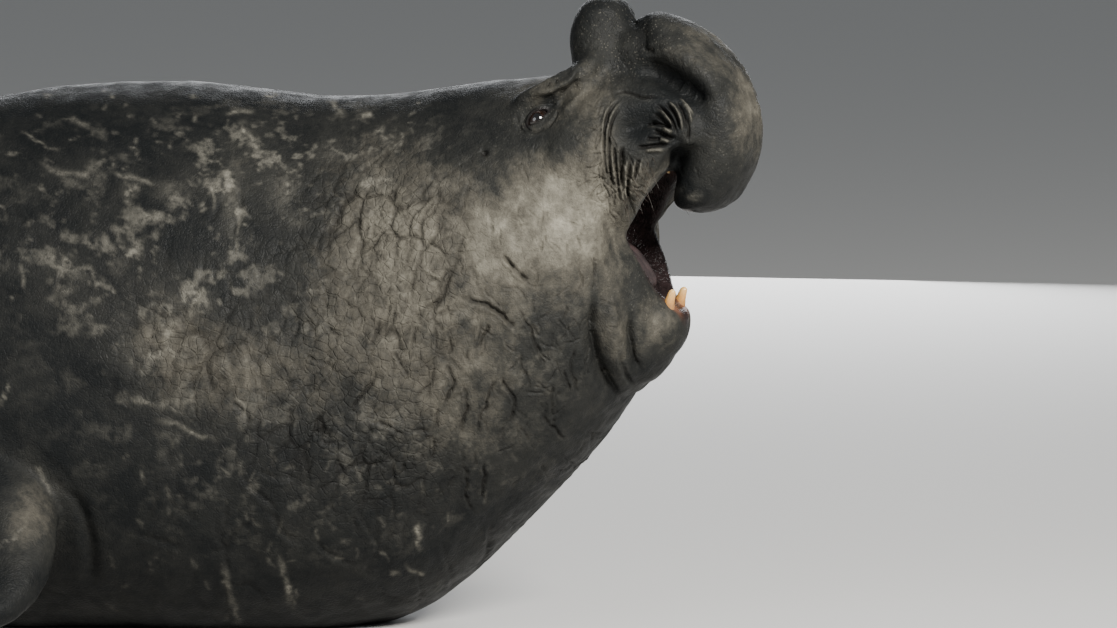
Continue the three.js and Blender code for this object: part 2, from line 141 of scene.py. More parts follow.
def mesh_of(name, places, faces):
    mesh = bpy.data.meshes.new(name)
    mesh.from_pydata([tuple(p) for p in places], [], faces)
    mesh.update()
    return mesh


def places_of(mesh):
    co = np.empty(len(mesh.vertices) * 3)
    mesh.vertices.foreach_get("co", co)
    return co.reshape(-1, 3)


def normals_of(mesh):
    out = np.empty(len(mesh.vertices) * 3)
    mesh.vertices.foreach_get("normal", out)
    return out.reshape(-1, 3)


def edges_of(mesh):
    out = np.empty(len(mesh.edges) * 2, dtype=np.int32)
    mesh.edges.foreach_get("vertices", out)
    return out.reshape(-1, 2)


def place(mesh, co):
    mesh.vertices.foreach_set("co", co.ravel())
    mesh.update()


def set_values(mesh, name, values):
    """One number for each place, for the material to read."""
    layer = mesh.attributes.new(name, "FLOAT", "POINT")
    layer.data.foreach_set("value", np.ascontiguousarray(values, dtype=np.float32))


def gathered(names):
    """The places and faces of several CAD nodes."""
    places, faces, start = [], [], 0
    for node in names:
        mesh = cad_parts[node].data
        places.append(places_of(mesh))
        faces += [[start + i for i in polygon.vertices] for polygon in mesh.polygons]
        start += len(mesh.vertices)
    return np.concatenate(places), faces


def level_set(places, faces, size):
    quads = np.array([f for f in faces if len(f) == 4], dtype=np.int32).reshape(-1, 4)
    triangles = np.array([f for f in faces if len(f) == 3], dtype=np.int32).reshape(-1, 3)
    return openvdb.FloatGrid.createLevelSetFromPolygons(
        np.ascontiguousarray(places, dtype=np.float32), triangles, quads,
        openvdb.createLinearTransform(size), CLOSING / size + 3,
    )


def closed_up(places, faces, size):
    """One skin over several solids: it spans every gap and crease narrower than CLOSING on each side."""
    fat = level_set(places, faces, size).convertToQuads(CLOSING)
    lean = level_set(fat[0], outer_faces(*fat), size).convertToQuads(-CLOSING)
    return lean[0], outer_faces(*lean)


def outer_faces(places, quads):
    """The faces of the largest island, turned to face out."""
    label = np.arange(len(places))
    pairs = np.concatenate([quads[:, [0, 1]], quads[:, [1, 2]], quads[:, [2, 3]]])
    while True:
        low = np.minimum(label[pairs[:, 0]], label[pairs[:, 1]])
        new = label.copy()
        np.minimum.at(new, pairs[:, 0], low)
        np.minimum.at(new, pairs[:, 1], low)
        new = new[new]
        if (new == label).all():
            break
        label = new
    values, counts = np.unique(label, return_counts=True)
    return quads[label[quads[:, 0]] == values[counts.argmax()]][:, ::-1]


def without_loose_places(mesh):
    work = bmesh.new()
    work.from_mesh(mesh)
    bmesh.ops.delete(work, geom=[v for v in work.verts if not v.link_faces], context="VERTS")
    work.to_mesh(mesh)
    work.free()
    return mesh


def neighbour_mean(co, edges, count):
    out = np.empty_like(co)
    for k in range(co.shape[1]):
        total = np.bincount(edges[:, 0], co[edges[:, 1], k], len(co))
        total += np.bincount(edges[:, 1], co[edges[:, 0], k], len(co))
        out[:, k] = total / count
    return out


def relax(mesh, weight, rounds):
    """Smooths a mesh, each place by its own weight from 0 to 1."""
    co, edges = places_of(mesh), edges_of(mesh)
    count = np.maximum(np.bincount(edges.ravel(), minlength=len(co)), 1)
    weight = np.broadcast_to(weight, len(co))[:, None] * 0.5
    for _ in range(rounds):
        co += weight * (neighbour_mean(co, edges, count) - co)
    place(mesh, co)


def refine(mesh, chosen):
    """Splits every face whose corners are all chosen into four."""
    work = bmesh.new()
    work.from_mesh(mesh)
    work.verts.ensure_lookup_table()
    marked = [e for e in work.edges if chosen[e.verts[0].index] and chosen[e.verts[1].index]]
    bmesh.ops.subdivide_edges(work, edges=marked, cuts=1, use_grid_fill=True)
    work.to_mesh(mesh)
    work.free()


# The hide's form
VOXEL = 0.008
CLOSING = 0.007  # creases narrower than twice this are spanned
FLIPPERS = ["foreflipper_right", "foreflipper_left", "hindflipper_right", "hindflipper_left"]


def limb_share(p):
    """1 on the flippers, 0 away from them, with a soft edge."""
    share = np.zeros(len(p))
    reach, full = 0.06, 0.012
    for name in FLIPPERS:
        low, high = (np.array(corner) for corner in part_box(name))
        inside = np.where(((p > low - reach) & (p < high + reach)).all(axis=1))[0]
        places, faces = gathered([name])
        tree = BVHTree.FromPolygons([Vector(v) for v in places], faces)
        for i in inside:
            distance = tree.find_nearest(Vector(p[i]), reach)[3]
            if distance is not None:
                share[i] = max(share[i], 1 - max(distance - full, 0) / reach)
    return share


def head_share(s):
    """1 on the head and nose, 0 behind them, for places of the straight animal."""
    return smoothstep(s[:, 0] - 0.18 * (s[:, 2] - 0.9), 1.16, 1.34)


def base_skin():
    """The solids' flesh as one smooth hide."""
    solids = gathered([*FLESH, "eye_right", "eye_left"])
    mesh = without_loose_places(mesh_of("hide", *closed_up(*solids, VOXEL)))
    p = places_of(mesh)
    s = swing(p, -1)
    limb = limb_share(p)
    firm = np.maximum(limb, head_share(s))
    relax(mesh, 1 - 0.985 * firm, 120)
    # around the eyes the lids are shaped afresh on smooth skin
    near_eye = sum(bell(np.linalg.norm(p - eye_centre(side), axis=1), 0.05) for side in ("right", "left"))
    relax(mesh, np.clip(near_eye * 1.5, 0, 1), 60)
    relax(mesh, 0.7 * head_share(s), 9)
    for fine in (fine_front, fine_face):
        refine(mesh, fine(swing(places_of(mesh), -1)))
        relax(mesh, (swing(places_of(mesh), -1)[:, 0] > 0.5) * 0.8, 3)
    p = places_of(mesh)
    p[:, 2] = np.maximum(p[:, 2], 0)
    place(mesh, p)
    return mesh


def fine_front(s):
    return (s[:, 0] > 0.55) & (s[:, 2] > 0.05)


def fine_face(s):
    x, y, z = s.T
    return (x - 0.12 * (z - 1.0) > 1.29) & (z > 0.55) & (z < 1.36) & (np.abs(y) > 0.03)


def eye_centre(side):
    low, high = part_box(f"eye_{side}")
    return (np.array(low) + np.array(high)) / 2


# Strokes on the hide. Their points are places in the picture: across, down, across, down and so on.
# Cracks of the neck and chest: depth in millimetres, then width in pixels, then the points.
CRACKS = [
    (9, 1.9, 501, 252, 508, 262, 517, 271, 524, 277, 531, 283),
    (9, 1.9, 454, 296, 465, 299, 476, 303, 487, 306, 497, 311, 505, 318, 513, 326, 519, 335),
    (7, 1.6, 515, 311, 524, 318, 530, 327, 535, 340, 539, 352, 543, 362, 545, 373),
    (5, 1.4, 404, 203, 408, 210, 412, 216),
    (5, 1.4, 433, 202, 428, 210, 424, 216),
    (6, 1.5, 426, 240, 434, 245, 441, 250, 447, 255, 450, 260),
    (5, 1.4, 380, 255, 385, 262, 388, 268, 392, 272),
    (6, 1.5, 429, 248, 422, 260, 414, 274, 411, 290, 412, 300, 408, 310),
    (6, 1.5, 453, 296, 449, 305, 443, 312, 436, 318),
    (7, 1.6, 452, 270, 447, 285, 440, 297, 430, 310, 424, 318),
    (6, 1.5, 322, 298, 326, 304, 327, 312),
    (6, 1.5, 327, 322, 332, 331, 341, 338),
    (7, 1.6, 380, 318, 378, 327, 374, 338, 370, 350),
    (6, 1.5, 415, 322, 414, 335, 411, 350),
    (6, 1.5, 435, 320, 440, 326, 444, 332),
    (6, 1.5, 447, 333, 449, 342, 451, 350, 448, 360),
    (7, 1.6, 490, 322, 486, 330, 482, 340, 481, 350),
    (7, 1.6, 432, 362, 433, 372, 430, 382, 421, 392, 413, 400),
    (8, 1.7, 442, 363, 449, 372, 453, 381, 451, 390, 445, 400, 440, 408),
    (8, 1.7, 460, 381, 465, 388, 467, 396, 466, 410, 462, 425, 458, 437),
    (8, 1.7, 376, 368, 372, 380, 364, 392, 356, 402, 352, 415),
    (8, 1.7, 505, 372, 503, 380, 508, 388, 514, 396, 516, 405, 512, 418, 508, 428),
    (7, 1.6, 497, 375, 492, 390, 486, 405, 480, 420, 476, 440),
    (6, 1.6, 368, 420, 380, 423, 392, 428, 400, 433, 408, 440),
    (6, 1.5, 408, 432, 420, 430, 432, 430),
    (6, 1.5, 432, 437, 434, 445, 433, 455, 431, 463),
    (6, 1.5, 323, 422, 321, 435, 325, 443, 338, 444),
    (5, 1.4, 379, 455, 382, 463, 385, 470),
    (5, 1.4, 403, 455, 404, 465, 403, 473),
    (6, 1.5, 436, 405, 437, 418, 434, 430),
    (7, 1.6, 457, 470, 467, 471, 466, 485, 467, 500, 475, 515),
    (7, 1.6, 483, 460, 484, 475, 483, 490, 482, 505),
    (6, 1.6, 540, 410, 547, 420, 556, 430, 566, 441),
    (5, 1.5, 552, 385, 553, 400, 552, 415),
    (5, 1.5, 562, 368, 568, 380, 570, 395),
    (5, 1.5, 575, 345, 573, 370, 578, 395),
    (5, 1.5, 595, 255, 595, 266, 595, 278),
    (4, 1.5, 300, 350, 312, 360, 330, 366, 344, 378),
    (4, 1.5, 340, 300, 352, 306, 360, 318, 358, 332),
    (5, 1.5, 392, 345, 396, 358, 404, 368, 408, 382),
    (4, 1.5, 470, 345, 466, 356, 470, 368),
    (4, 1.5, 520, 350, 522, 366, 530, 382, 532, 398),
    (4, 1.5, 380, 230, 386, 238, 384, 248),
    (4, 1.5, 488, 212, 492, 222, 490, 236),
]
# Folds of the head, in the same form. A negative depth stands proud.
FOLDS = [
    (13, 2.6, 595, 292, 594, 320, 596, 340, 600, 360, 608, 378, 618, 394, 628, 402),
    (12, 7.0, 593, 300, 592, 330, 596, 356, 606, 380, 618, 398),
    (6, 2.2, 631, 306, 630, 330, 633, 346, 636, 360, 642, 374),
    (9, 6.0, 630, 318, 632, 350, 640, 376),
    (8, 2.2, 617, 350, 620, 363, 626, 375, 635, 387),
    (-12, 9.0, 613, 296, 613, 330, 617, 356, 628, 384),
    (-11, 3.4, 580, 62, 572, 77, 560, 86, 549, 91, 538, 93, 528, 98),
    (10, 2.8, 582, 78, 570, 92, 562, 100, 557, 108),
    (-6, 4.0, 590, 82, 578, 96, 568, 106, 560, 116),
    (20, 9.0, 640, 60, 652, 68, 668, 77, 684, 87, 704, 101, 712, 110),
    (-10, 9.0, 650, 46, 676, 54, 704, 76, 722, 104),
    (14, 9.0, 640, 2, 640, 24, 640, 40, 638, 58),
    (9, 2.4, 639, 47, 646, 51, 655, 51),
    (6, 1.6, 522, 118, 526, 127, 534, 131, 545, 128),
    (5, 1.5, 558, 108, 554, 118, 546, 128),
    (5, 1.6, 516, 112, 518, 124, 526, 134),
    (12, 6, 62, 484, 76, 500, 86, 524, 92, 556, 90, 590),
    (7, 2.4, 40, 470, 60, 486, 76, 502, 88, 530),
]
# Wrinkles of the hood beneath the nose
WRINKLES = [
    (7, 1.4, 612, 94, 622, 91, 632, 93, 642, 97, 652, 97, 660, 98),
    (-6, 1.5, 619, 97, 609, 108, 604, 120, 602, 140),
    (8, 1.3, 622, 97, 612, 106, 606, 118, 604, 140, 605, 160, 609, 184),
    (-5, 1.3, 622, 100, 613, 112, 608, 126, 607, 142),
    (8, 1.3, 624, 102, 614, 116, 610, 130, 609, 150, 611, 172, 616, 200),
    (-5, 1.4, 612, 150, 613, 172, 618, 194),
    (8, 1.4, 614, 140, 615, 158, 618, 180, 621, 206),
    (-6, 1.5, 618, 158, 620, 180, 623, 206),
    (13, 2.0, 623, 144, 622, 154, 621, 170, 623, 192),
    (-6, 1.5, 626, 158, 625, 176, 626, 200),
    (8, 1.4, 631, 156, 629, 172, 628, 188, 629, 206),
    (-5, 1.3, 635, 158, 633, 172, 631, 188),
    (7, 1.3, 639, 158, 636, 170, 634, 182),
    (-5, 1.3, 642, 158, 640, 168, 638, 176),
    (11, 1.7, 654, 103, 662, 108, 669, 116, 674, 125, 677, 136),
    (-9, 1.5, 658, 109, 664, 114, 669, 120, 673, 127),
    (11, 1.8, 652, 112, 660, 117, 667, 124, 673, 131),
    (-12, 2.2, 662, 128, 667, 130, 672, 134),
    (13, 1.9, 650, 120, 657, 123, 664, 125, 671, 129),
    (13, 2.0, 652, 129, 660, 133, 668, 137, 676, 138),
    (-8, 1.7, 658, 139, 664, 140, 670, 142),
    (9, 1.6, 645, 138, 654, 139, 662, 138),
    (10, 1.5, 664, 101, 671, 108, 677, 118, 680, 132),
    (-8, 1.4, 668, 101, 675, 109, 680, 120, 682, 132),
    (9, 1.5, 674, 100, 681, 108, 685, 120, 686, 132),
    (-7, 1.5, 682, 102, 688, 111, 692, 124),
    (-5, 1.3, 679, 97, 686, 104, 694, 116),
    (7, 1.3, 686, 116, 689, 128, 688, 142),
    (12, 1.8, 634, 147, 646, 147, 658, 145, 672, 146),
    (-7, 2.0, 644, 151, 654, 150, 664, 150),
    (6, 1.2, 646, 123, 652, 123, 657, 122),
    (-6, 2.4, 671, 149, 667, 162, 656, 176, 646, 188, 639, 199, 631, 214),
    (-5, 2.2, 626, 226, 634, 246, 644, 268, 654, 286, 661, 298),
]
# Hollows of the head: depth in millimetres, then the radius and the centre in pixels
HOLLOWS = [
    (24, 14, 630, 128), (16, 11, 646, 122), (15, 7, 551, 102),
    (9, 6, 562, 93), (12, 7, 676, 142), (8, 7, 674, 156),
]
# Painted shade on the head, in its hollows and creases and under the nose's overhang: strength, then half
# width, half height and centre in pixels
PAINTED_SHADES = [
    (0.9, 16, 22, 632, 126), (0.8, 16, 16, 650, 122), (0.9, 9, 8, 551, 103), (0.9, 14, 9, 536, 114),
    (1.0, 8, 20, 676, 154), (0.8, 13, 9, 652, 70), (0.9, 15, 10, 668, 80), (0.8, 15, 10, 688, 93),
    (0.6, 10, 30, 642, 30), (0.6, 26, 14, 692, 206), (0.45, 20, 40, 700, 150), (0.8, 8, 26, 682, 180),
    (0.5, 5, 60, 595, 340), (0.5, 5, 40, 632, 340), (0.7, 12, 8, 618, 398),
]
# Pale scars: width in pixels, then the points
SCARS = [
    (1.8, 61, 118, 75, 121, 93, 129),
    (2.6, 39, 160, 48, 168, 60, 172, 78, 173, 96, 174),
    (2.2, 107, 169, 125, 176, 140, 179, 160, 191),
    (1.2, 18, 128, 30, 137, 48, 147, 64, 151),
    (1.5, 4, 155, 23, 154),
    (1.4, 42, 96, 52, 95),
    (1.4, 100, 90, 106, 91),
    (1.8, 222, 115, 235, 110, 258, 109),
    (2.8, 240, 116, 247, 133, 255, 148, 265, 160),
    (1.4, 263, 94, 280, 94),
    (3.2, 327, 99, 335, 106, 345, 120),
    (3.4, 360, 118, 373, 112),
    (1.3, 188, 95, 197, 94),
    (1.3, 127, 115, 136, 116),
    (1.3, 178, 112, 178, 118),
    (1.3, 195, 112, 196, 124),
    (2.6, 372, 140, 382, 130, 384, 146),
    (2.0, 305, 155, 318, 143),
    (2.0, 327, 142, 340, 152, 350, 162),
    (1.6, 402, 130, 400, 150),
    (1.3, 66, 140, 74, 139),
    (1.5, 130, 150, 136, 148),
    (1.6, 35, 187, 45, 190),
    (1.6, 88, 193, 94, 192),
    (1.4, 60, 255, 70, 257),
    (1.4, 75, 240, 92, 244),
    (1.6, 20, 260, 21, 275, 22, 290),
    (1.4, 90, 265, 92, 280),
    (2.4, 418, 520, 418, 540, 423, 555),
    (2.0, 405, 560, 412, 570, 425, 573),
    (3.0, 222, 560, 229, 590, 240, 628),
    (3.0, 275, 545, 284, 575, 295, 615),
    (2.0, 36, 462, 44, 480, 52, 496),
    (1.8, 205, 180, 214, 196, 212, 216),
    (2.2, 150, 420, 175, 424, 200, 436, 222, 440),
    (2.0, 120, 392, 140, 402, 168, 405, 192, 420),
    (1.6, 230, 395, 244, 404, 246, 420),
    (1.6, 140, 470, 146, 486),
    (1.5, 238, 200, 240, 222, 236, 240),
]
# Pale blotches: strength, then half width, half height and centre in pixels
BLOTCHES = [
    (0.8, 13, 20, 285, 190), (0.8, 8, 34, 232, 200), (0.7, 14, 10, 170, 190), (0.7, 8, 8, 130, 190),
    (0.6, 9, 7, 133, 252), (0.5, 9, 5, 150, 215), (0.6, 8, 8, 118, 267), (0.9, 4, 3, 345, 540),
    (0.5, 12, 8, 330, 150), (0.5, 16, 14, 375, 180), (0.4, 14, 10, 60, 262), (0.5, 7, 5, 675, 190),
    (0.5, 6, 4, 694, 196), (0.5, 10, 6, 300, 222), (0.4, 20, 10, 190, 300), (0.4, 24, 12, 150, 350),
]
# How light the hide is: strength, then half width, half height and centre in pixels
TONES = [
    (0.5, 48, 56, 587, 238), (0.3, 44, 44, 560, 190), (0.34, 60, 60, 500, 230), (0.3, 60, 70, 385, 235),
    (0.2, 130, 120, 430, 260), (0.26, 170, 80, 390, 350), (0.34, 44, 50, 172, 345), (0.22, 60, 50, 240, 390),
    (0.16, 90, 60, 470, 430), (0.34, 28, 30, 662, 322), (0.22, 26, 46, 616, 345), (0.26, 44, 26, 540, 100),
    (0.3, 26, 30, 648, 180), (0.26, 20, 60, 604, 150), (0.4, 24, 60, 752, 115), (0.3, 50, 40, 700, 40),
    (0.16, 50, 70, 590, 70), (0.2, 30, 40, 700, 150), (0.34, 34, 50, 30, 520), (0.12, 110, 50, 70, 290),
    (0.08, 160, 60, 330, 520), (0.16, 50, 60, 232, 170), (0.14, 60, 40, 360, 150),
]
# Where pale flakes scatter: strength, then half width, half height and centre in pixels
FLAKES = [
    (0.9, 90, 50, 350, 170), (0.9, 60, 60, 235, 180), (0.7, 110, 60, 110, 250), (0.8, 90, 80, 165, 340),
    (0.5, 160, 90, 400, 330), (0.35, 200, 70, 330, 480), (0.5, 120, 30, 100, 150),
]


# Where the nose, cheek and chin are stippled: strength, then half width, half height and centre in pixels
STIPPLED = [(0.9, 34, 60, 745, 120), (0.8, 60, 60, 590, 235), (0.6, 30, 40, 650, 320)]
# The shield of thick, crazed skin: centres and radii in pixels
SHIELD = [(440, 330, 125), (510, 400, 90), (350, 390, 110), (175, 350, 60), (370, 220, 60)]
# Creases scattered over a field: how many, the field's corners, then length, depth, width and heading
CREASES = [
    (260, (290, 200), (600, 480), 22, 3.4, 1.1, 1.4),
    (90, (-1300, 130), (280, 600), 60, 2.4, 2.4, 1.4),
    (30, (120, 420), (500, 600), 60, 4, 2.8, 1.3),
    (70, (520, 130), (600, 300), 14, 1.4, 1.0, 1.5),
    (90, (575, 10), (755, 205), 16, 1.5, 1.1, 0.6),
    (60, (598, 148), (630, 190), 34, 3.6, 1.0, 1.5),
    (16, (600, 98), (612, 130), 28, 3.0, 1.0, 1.9),
]
# Scattered scars, in the same form with strength for depth
SCATTERED_SCARS = [
    (130, (-1300, 70), (0, 560), 40, 1.0, 1.4, 0.3),
    (90, (0, 90), (420, 300), 9, 0.9, 1.5, 0.2),
    (50, (100, 430), (520, 610), 16, 0.6, 1.5, 1.4),
]
EAR_HOLE = (484, 152)
EAR_RADIUS = 3.2
EAR_DEPTH = 0.012  # in metres
# The gum round each tooth, in metres
ROOT_DEPTH = 0.04
GUM_RADIUS = 0.022


def smooth_line(flat, step=2.5):
    """A smooth line through picture points, given as across, down, across, down."""
    points = np.array(flat, dtype=float).reshape(-1, 2)
    ends = np.vstack([2 * points[0] - points[1], points, 2 * points[-1] - points[-2]])
    out = []
    for a, b, c, d in zip(ends, ends[1:], ends[2:], ends[3:]):
        parts = max(int(np.linalg.norm(c - b) / step), 1)
        for t in np.arange(parts) / parts:
            bend = (2 * a - 5 * b + 4 * c - d) * t * t + (3 * b - a - 3 * c + d) * t ** 3
            out.append(0.5 * (2 * b + (c - a) * t + bend))
    return np.array([*out, points[-1]])


def near_line(places, line, reach):
    """The places within reach of a line: their numbers, distances, sides and shares along it."""
    low, high = line.min(axis=0) - reach, line.max(axis=0) + reach
    near = np.where(((places > low) & (places < high)).all(axis=1))[0]
    uv = places[near]
    best, side, along = np.full(len(near), np.inf), np.zeros(len(near)), np.zeros(len(near))
    for k, (a, b) in enumerate(zip(line, line[1:])):
        run = b - a
        t = np.clip((uv - a) @ run / (run @ run), 0, 1)
        off = uv - a - t[:, None] * run
        distance = np.hypot(off[:, 0], off[:, 1])
        closer = distance < best
        best[closer] = distance[closer]
        side[closer] = np.sign(run[0] * off[:, 1] - run[1] * off[:, 0])[closer]
        along[closer] = (k + t[closer]) / (len(line) - 1)
    return near, best, side, along


def cell_edges(points, size, seed):
    """How far places are from the edges of scattered cells, in cells."""
    q = points / np.asarray(size)
    home = np.floor(q).astype(np.int64)
    first, second = np.full(len(q), 9.0), np.full(len(q), 9.0)
    for step in np.ndindex(3, 3, 3):
        cell = home + np.array(step) - 1
        h = (cell[:, 0] * 73856093) ^ (cell[:, 1] * 19349663) ^ (cell[:, 2] * 83492791) ^ (seed * 7919 + 29)
        distance = np.zeros(len(q))
        for axis, salt in enumerate((1274126177, 668265263, 374761393)):
            g = ((h ^ (h >> 13)) * salt) & 0x7FFFFFFF
            g = (((g ^ (g >> 15)) * 668265263) & 0x7FFFFFFF) >> 7 & 0xFFFF
            distance += (q[:, axis] - cell[:, axis] - g / 65535.0) ** 2
        distance = np.sqrt(distance)
        second = np.minimum(second, np.maximum(first, distance))
        first = np.minimum(first, distance)
    return second - first


def tapered(along, share=0.25):
    return smoothstep(along, 0, share) * smoothstep(1 - along, 0, share)


def random_strokes(rng, count, low, high, length, depth, width, lean):
    """Wandering strokes in the picture's pixels, in the form of the drawn lists."""
    strokes = []
    parts = 4
    for _ in range(count):
        at = np.array([rng.uniform(low[0], high[0]), rng.uniform(low[1], high[1])])
        heading = lean + rng.normal(0, 0.5)
        points = [at]
        for _ in range(parts):
            heading += rng.normal(0, 0.35)
            step = rng.uniform(0.7, 1.3) * length / parts
            points.append(points[-1] + step * np.array([math.cos(heading), math.sin(heading)]))
        strokes.append((rng.uniform(0.5, 1) * depth, rng.uniform(0.8, 1.2) * width, *np.concatenate(points)))
    return strokes


FAR_SHIFT = 16  # in the picture's pixels


class View:
    """The hide as the picture sees it, with the far side mirrored onto the near one."""

    def __init__(self, p, n):
        s = swing(p, -1)
        self.straight = s
        self.far = s[:, 1] > 0
        near_s = np.where(self.far[:, None], s * (1, -1, 1), s)
        uv = picture_place(swing(near_s))
        # the far side's marks wander a little from the near side's
        shift = np.stack([noise(near_s, 0.3, 5), noise(near_s, 0.3, 6)], 1) * FAR_SHIFT
        self.uv = uv + shift * (self.far * (1 - head_share(s)))[:, None]
        self.waver = np.stack([noise(near_s, 0.02, 15), noise(near_s, 0.02, 16)], 1)
        angle = HEAD_TURN * smoothstep(s[:, 0], TURN_FROM, TURN_TO)
        straight_n = turned(n, angle)
        straight_n[self.far, 1] *= -1
        self.facing = smoothstep(turned(straight_n, -angle) @ TO_CAMERA, 0.02, 0.3)


MILLIMETRE = 0.001
# grooves this deep, or deeper, get the full painted shade
DARKEST_DEPTH = 8  # in millimetres


def cut_strokes(view, strokes, lip=0.35, waver=0.0):
    """How far the strokes push the skin, in metres, and how much painted shade they leave in their grooves,
    from 0 to 1.
    """
    push, dark = np.zeros(len(view.uv)), np.zeros(len(view.uv))
    places = view.uv + waver * view.waver
    for depth, width, *points in strokes:
        near, distance, side, along = near_line(places, smooth_line(points), width * 4)
        broken = 1 - 0.35 * min(waver, 1) * (view.waver[near, 0] > 0.2)
        weight = tapered(along) * view.facing[near] * broken
        groove = bell(distance, width) * weight
        raised = bell(distance - 2.1 * width, 1.1 * width) * weight * (side > 0)
        push[near] += MILLIMETRE * depth * (raised * lip - groove)
        # painted shade in the groove, stronger the deeper it is cut
        dark[near] = np.maximum(dark[near], groove * np.clip(depth / DARKEST_DEPTH, 0, 1))
    return push, dark


def blobs(view, table):
    """The sum of soft spots of strength, half width, half height and centre in pixels."""
    total = np.zeros(len(view.uv))
    for strength, half_width, half_height, across, down in table:
        off = (view.uv - (across, down)) / (half_width, half_height)
        total += strength * np.exp(-(off ** 2).sum(axis=1)) * (0.4 + 0.6 * view.facing)
    return total


# The mouth's hollow in the straight animal: along, top, bottom and half width, as the solids have it
MOUTH = np.array([
    [1.335, 0.985, 0.905, 0.045],
    [1.440, 1.014, 0.868, 0.084],
    [1.512, 1.048, 0.830, 0.090],
    [1.565, 1.092, 0.780, 0.082],
    [1.605, 1.150, 0.756, 0.062],
    [1.640, 1.160, 0.740, 0.055],
])


def mouth_share(s):
    """1 inside the mouth, 0 on the outer skin."""
    x = s[:, 0]
    top, bottom, half = (np.interp(x, MOUTH[:, 0], MOUTH[:, k]) for k in (1, 2, 3))
    above = np.abs(s[:, 2] - (top + bottom) / 2) / ((top - bottom) / 2)
    reach = (np.abs(s[:, 1]) / half) ** 2.4 + above ** 2.4
    return smoothstep(-reach, -1.6, -1.05) * (x > 1.3) * (x < 1.66)


# Eyes
LID_SLANT = math.radians(46)
OPENING = (0.026, 0.0125, 0.0095)  # half width, and height above and below the slit
LID_OVER = 0.0032  # thickness of the lids over the eyeball
BEHIND_EYE = 0.006  # how far the hide sinks into the eyeball within the opening
EYE_SURROUND = 0.1  # radius of the skin that the lids take in


def eye_frame(side):
    """The eye's centre and radius, and its slit, up and out directions."""
    low, high = (np.array(corner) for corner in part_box(f"eye_{side}"))
    centre, radius = (low + high) / 2, (high - low).min() / 2
    sign = -1 if side == "right" else 1
    out, forward = turned(np.array([[0.2, sign * 0.86, 0.42], [1, 0, 0]]), -HEAD_TURN)
    out /= np.linalg.norm(out)
    forward -= out * (forward @ out)
    forward /= np.linalg.norm(forward)
    upward = np.cross(forward, out) * -sign
    upward *= np.sign(upward[2])
    slit = math.cos(LID_SLANT) * forward + math.sin(LID_SLANT) * upward
    across = math.cos(LID_SLANT) * upward - math.sin(LID_SLANT) * forward
    return centre, radius, slit, across, out


def shape_lids(p):
    """Moves the skin round each eye onto lids that hug the eyeball, and gives the share of lid rim."""
    rim = np.zeros(len(p))
    half, above, below = OPENING
    for side in ("right", "left"):
        centre, radius, slit, across, out = eye_frame(side)
        near = np.where(np.linalg.norm(p - centre, axis=1) < EYE_SURROUND)[0]
        a, b, c = ((p[near] - centre) @ direction for direction in (slit, across, out))
        height = np.where(b > 0, above, below)
        reach = np.sqrt((a / half) ** 2 + (b / height) ** 2 * (1 + 0.4 * (a / half) ** 2))
        flat = np.hypot(a, b)
        lid_radius = radius + LID_OVER + 0.003 * bell(reach - 1.25, 0.3)
        dome = np.sqrt(np.maximum(lid_radius ** 2 - flat ** 2, 0))
        # the dome meets the skin round it smoothly
        over = smoothstep(-flat, -0.05, -0.026)
        height_now = c * (1 - over) + np.maximum(dome, c - 0.004) * over
        inside = smoothstep(-reach, -1.05, -0.9)
        behind = np.sqrt(np.maximum((radius - BEHIND_EYE) ** 2 - flat ** 2, 0))
        height_now = height_now * (1 - inside) + behind * inside
        # a crease over the upper lid
        height_now -= 0.004 * bell(reach - 1.9, 0.25) * (b > 0) * (c > 0)
        front = c > -0.01
        p[near[front]] += (height_now - c)[front, None] * out
        rim[near[front]] = np.maximum(rim[near[front]], bell(reach[front] - 1.0, 0.35))
    return rim


def creased(view, rng):
    """How far all strokes push the skin, how much painted shade they leave in their grooves, and where the
    hood's wrinkles stand proud, for painted highlight.
    """
    push, dark = cut_strokes(view, CRACKS, waver=2.2)
    for field in CREASES:
        more, shade = cut_strokes(view, random_strokes(rng, *field), waver=1.2)
        push += more
        dark = np.maximum(dark, shade * 0.6)
    folds, shade = cut_strokes(view, FOLDS, lip=0.15, waver=0.5)
    dark = np.maximum(dark * 0.8, shade * 0.2)
    wrinkles, shade = cut_strokes(view, WRINKLES, lip=0.1, waver=0.3)
    dark = np.maximum(dark, shade * 0.9)
    # ridges this proud get the full painted highlight
    proudest = 0.006
    return push + folds + wrinkles, dark, np.clip(wrinkles / proudest, 0, 1)


def shield_share(view):
    off = [view.uv - (across, down) for across, down, _ in SHIELD]
    share = sum(bell(np.hypot(*d.T), radius) for d, (_, _, radius) in zip(off, SHIELD))
    return np.clip(share, 0, 1) * (1 - head_share(view.straight))


def crazed(s, shield, push, dark):
    """Breaks the shield into unequal lumps, with some of their edges cut deep and darkened with painted
    shade.
    """
    near = np.where(shield > 0.03)[0]
    q = s[near]
    bent = q + 0.012 * np.stack([noise(q, 0.04, seed) for seed in (21, 22, 23)], 1)
    bent[:, 0] -= 0.35 * bent[:, 2]
    large = bell(cell_edges(bent, (0.07, 0.07, 0.12), 3), 0.09) * smoothstep(noise(q, 0.12, 24), -0.45, 0.35)
    small = bell(cell_edges(bent, (0.026, 0.026, 0.04), 4), 0.14) * smoothstep(noise(q, 0.1, 25), -0.3, 0.4)
    push[near] -= shield[near] * (0.0075 * large + 0.0018 * small)
    # painted shade along the cut edges
    dark[near] = np.maximum(dark[near], shield[near] * np.maximum(large * 0.6, small * 0.25))


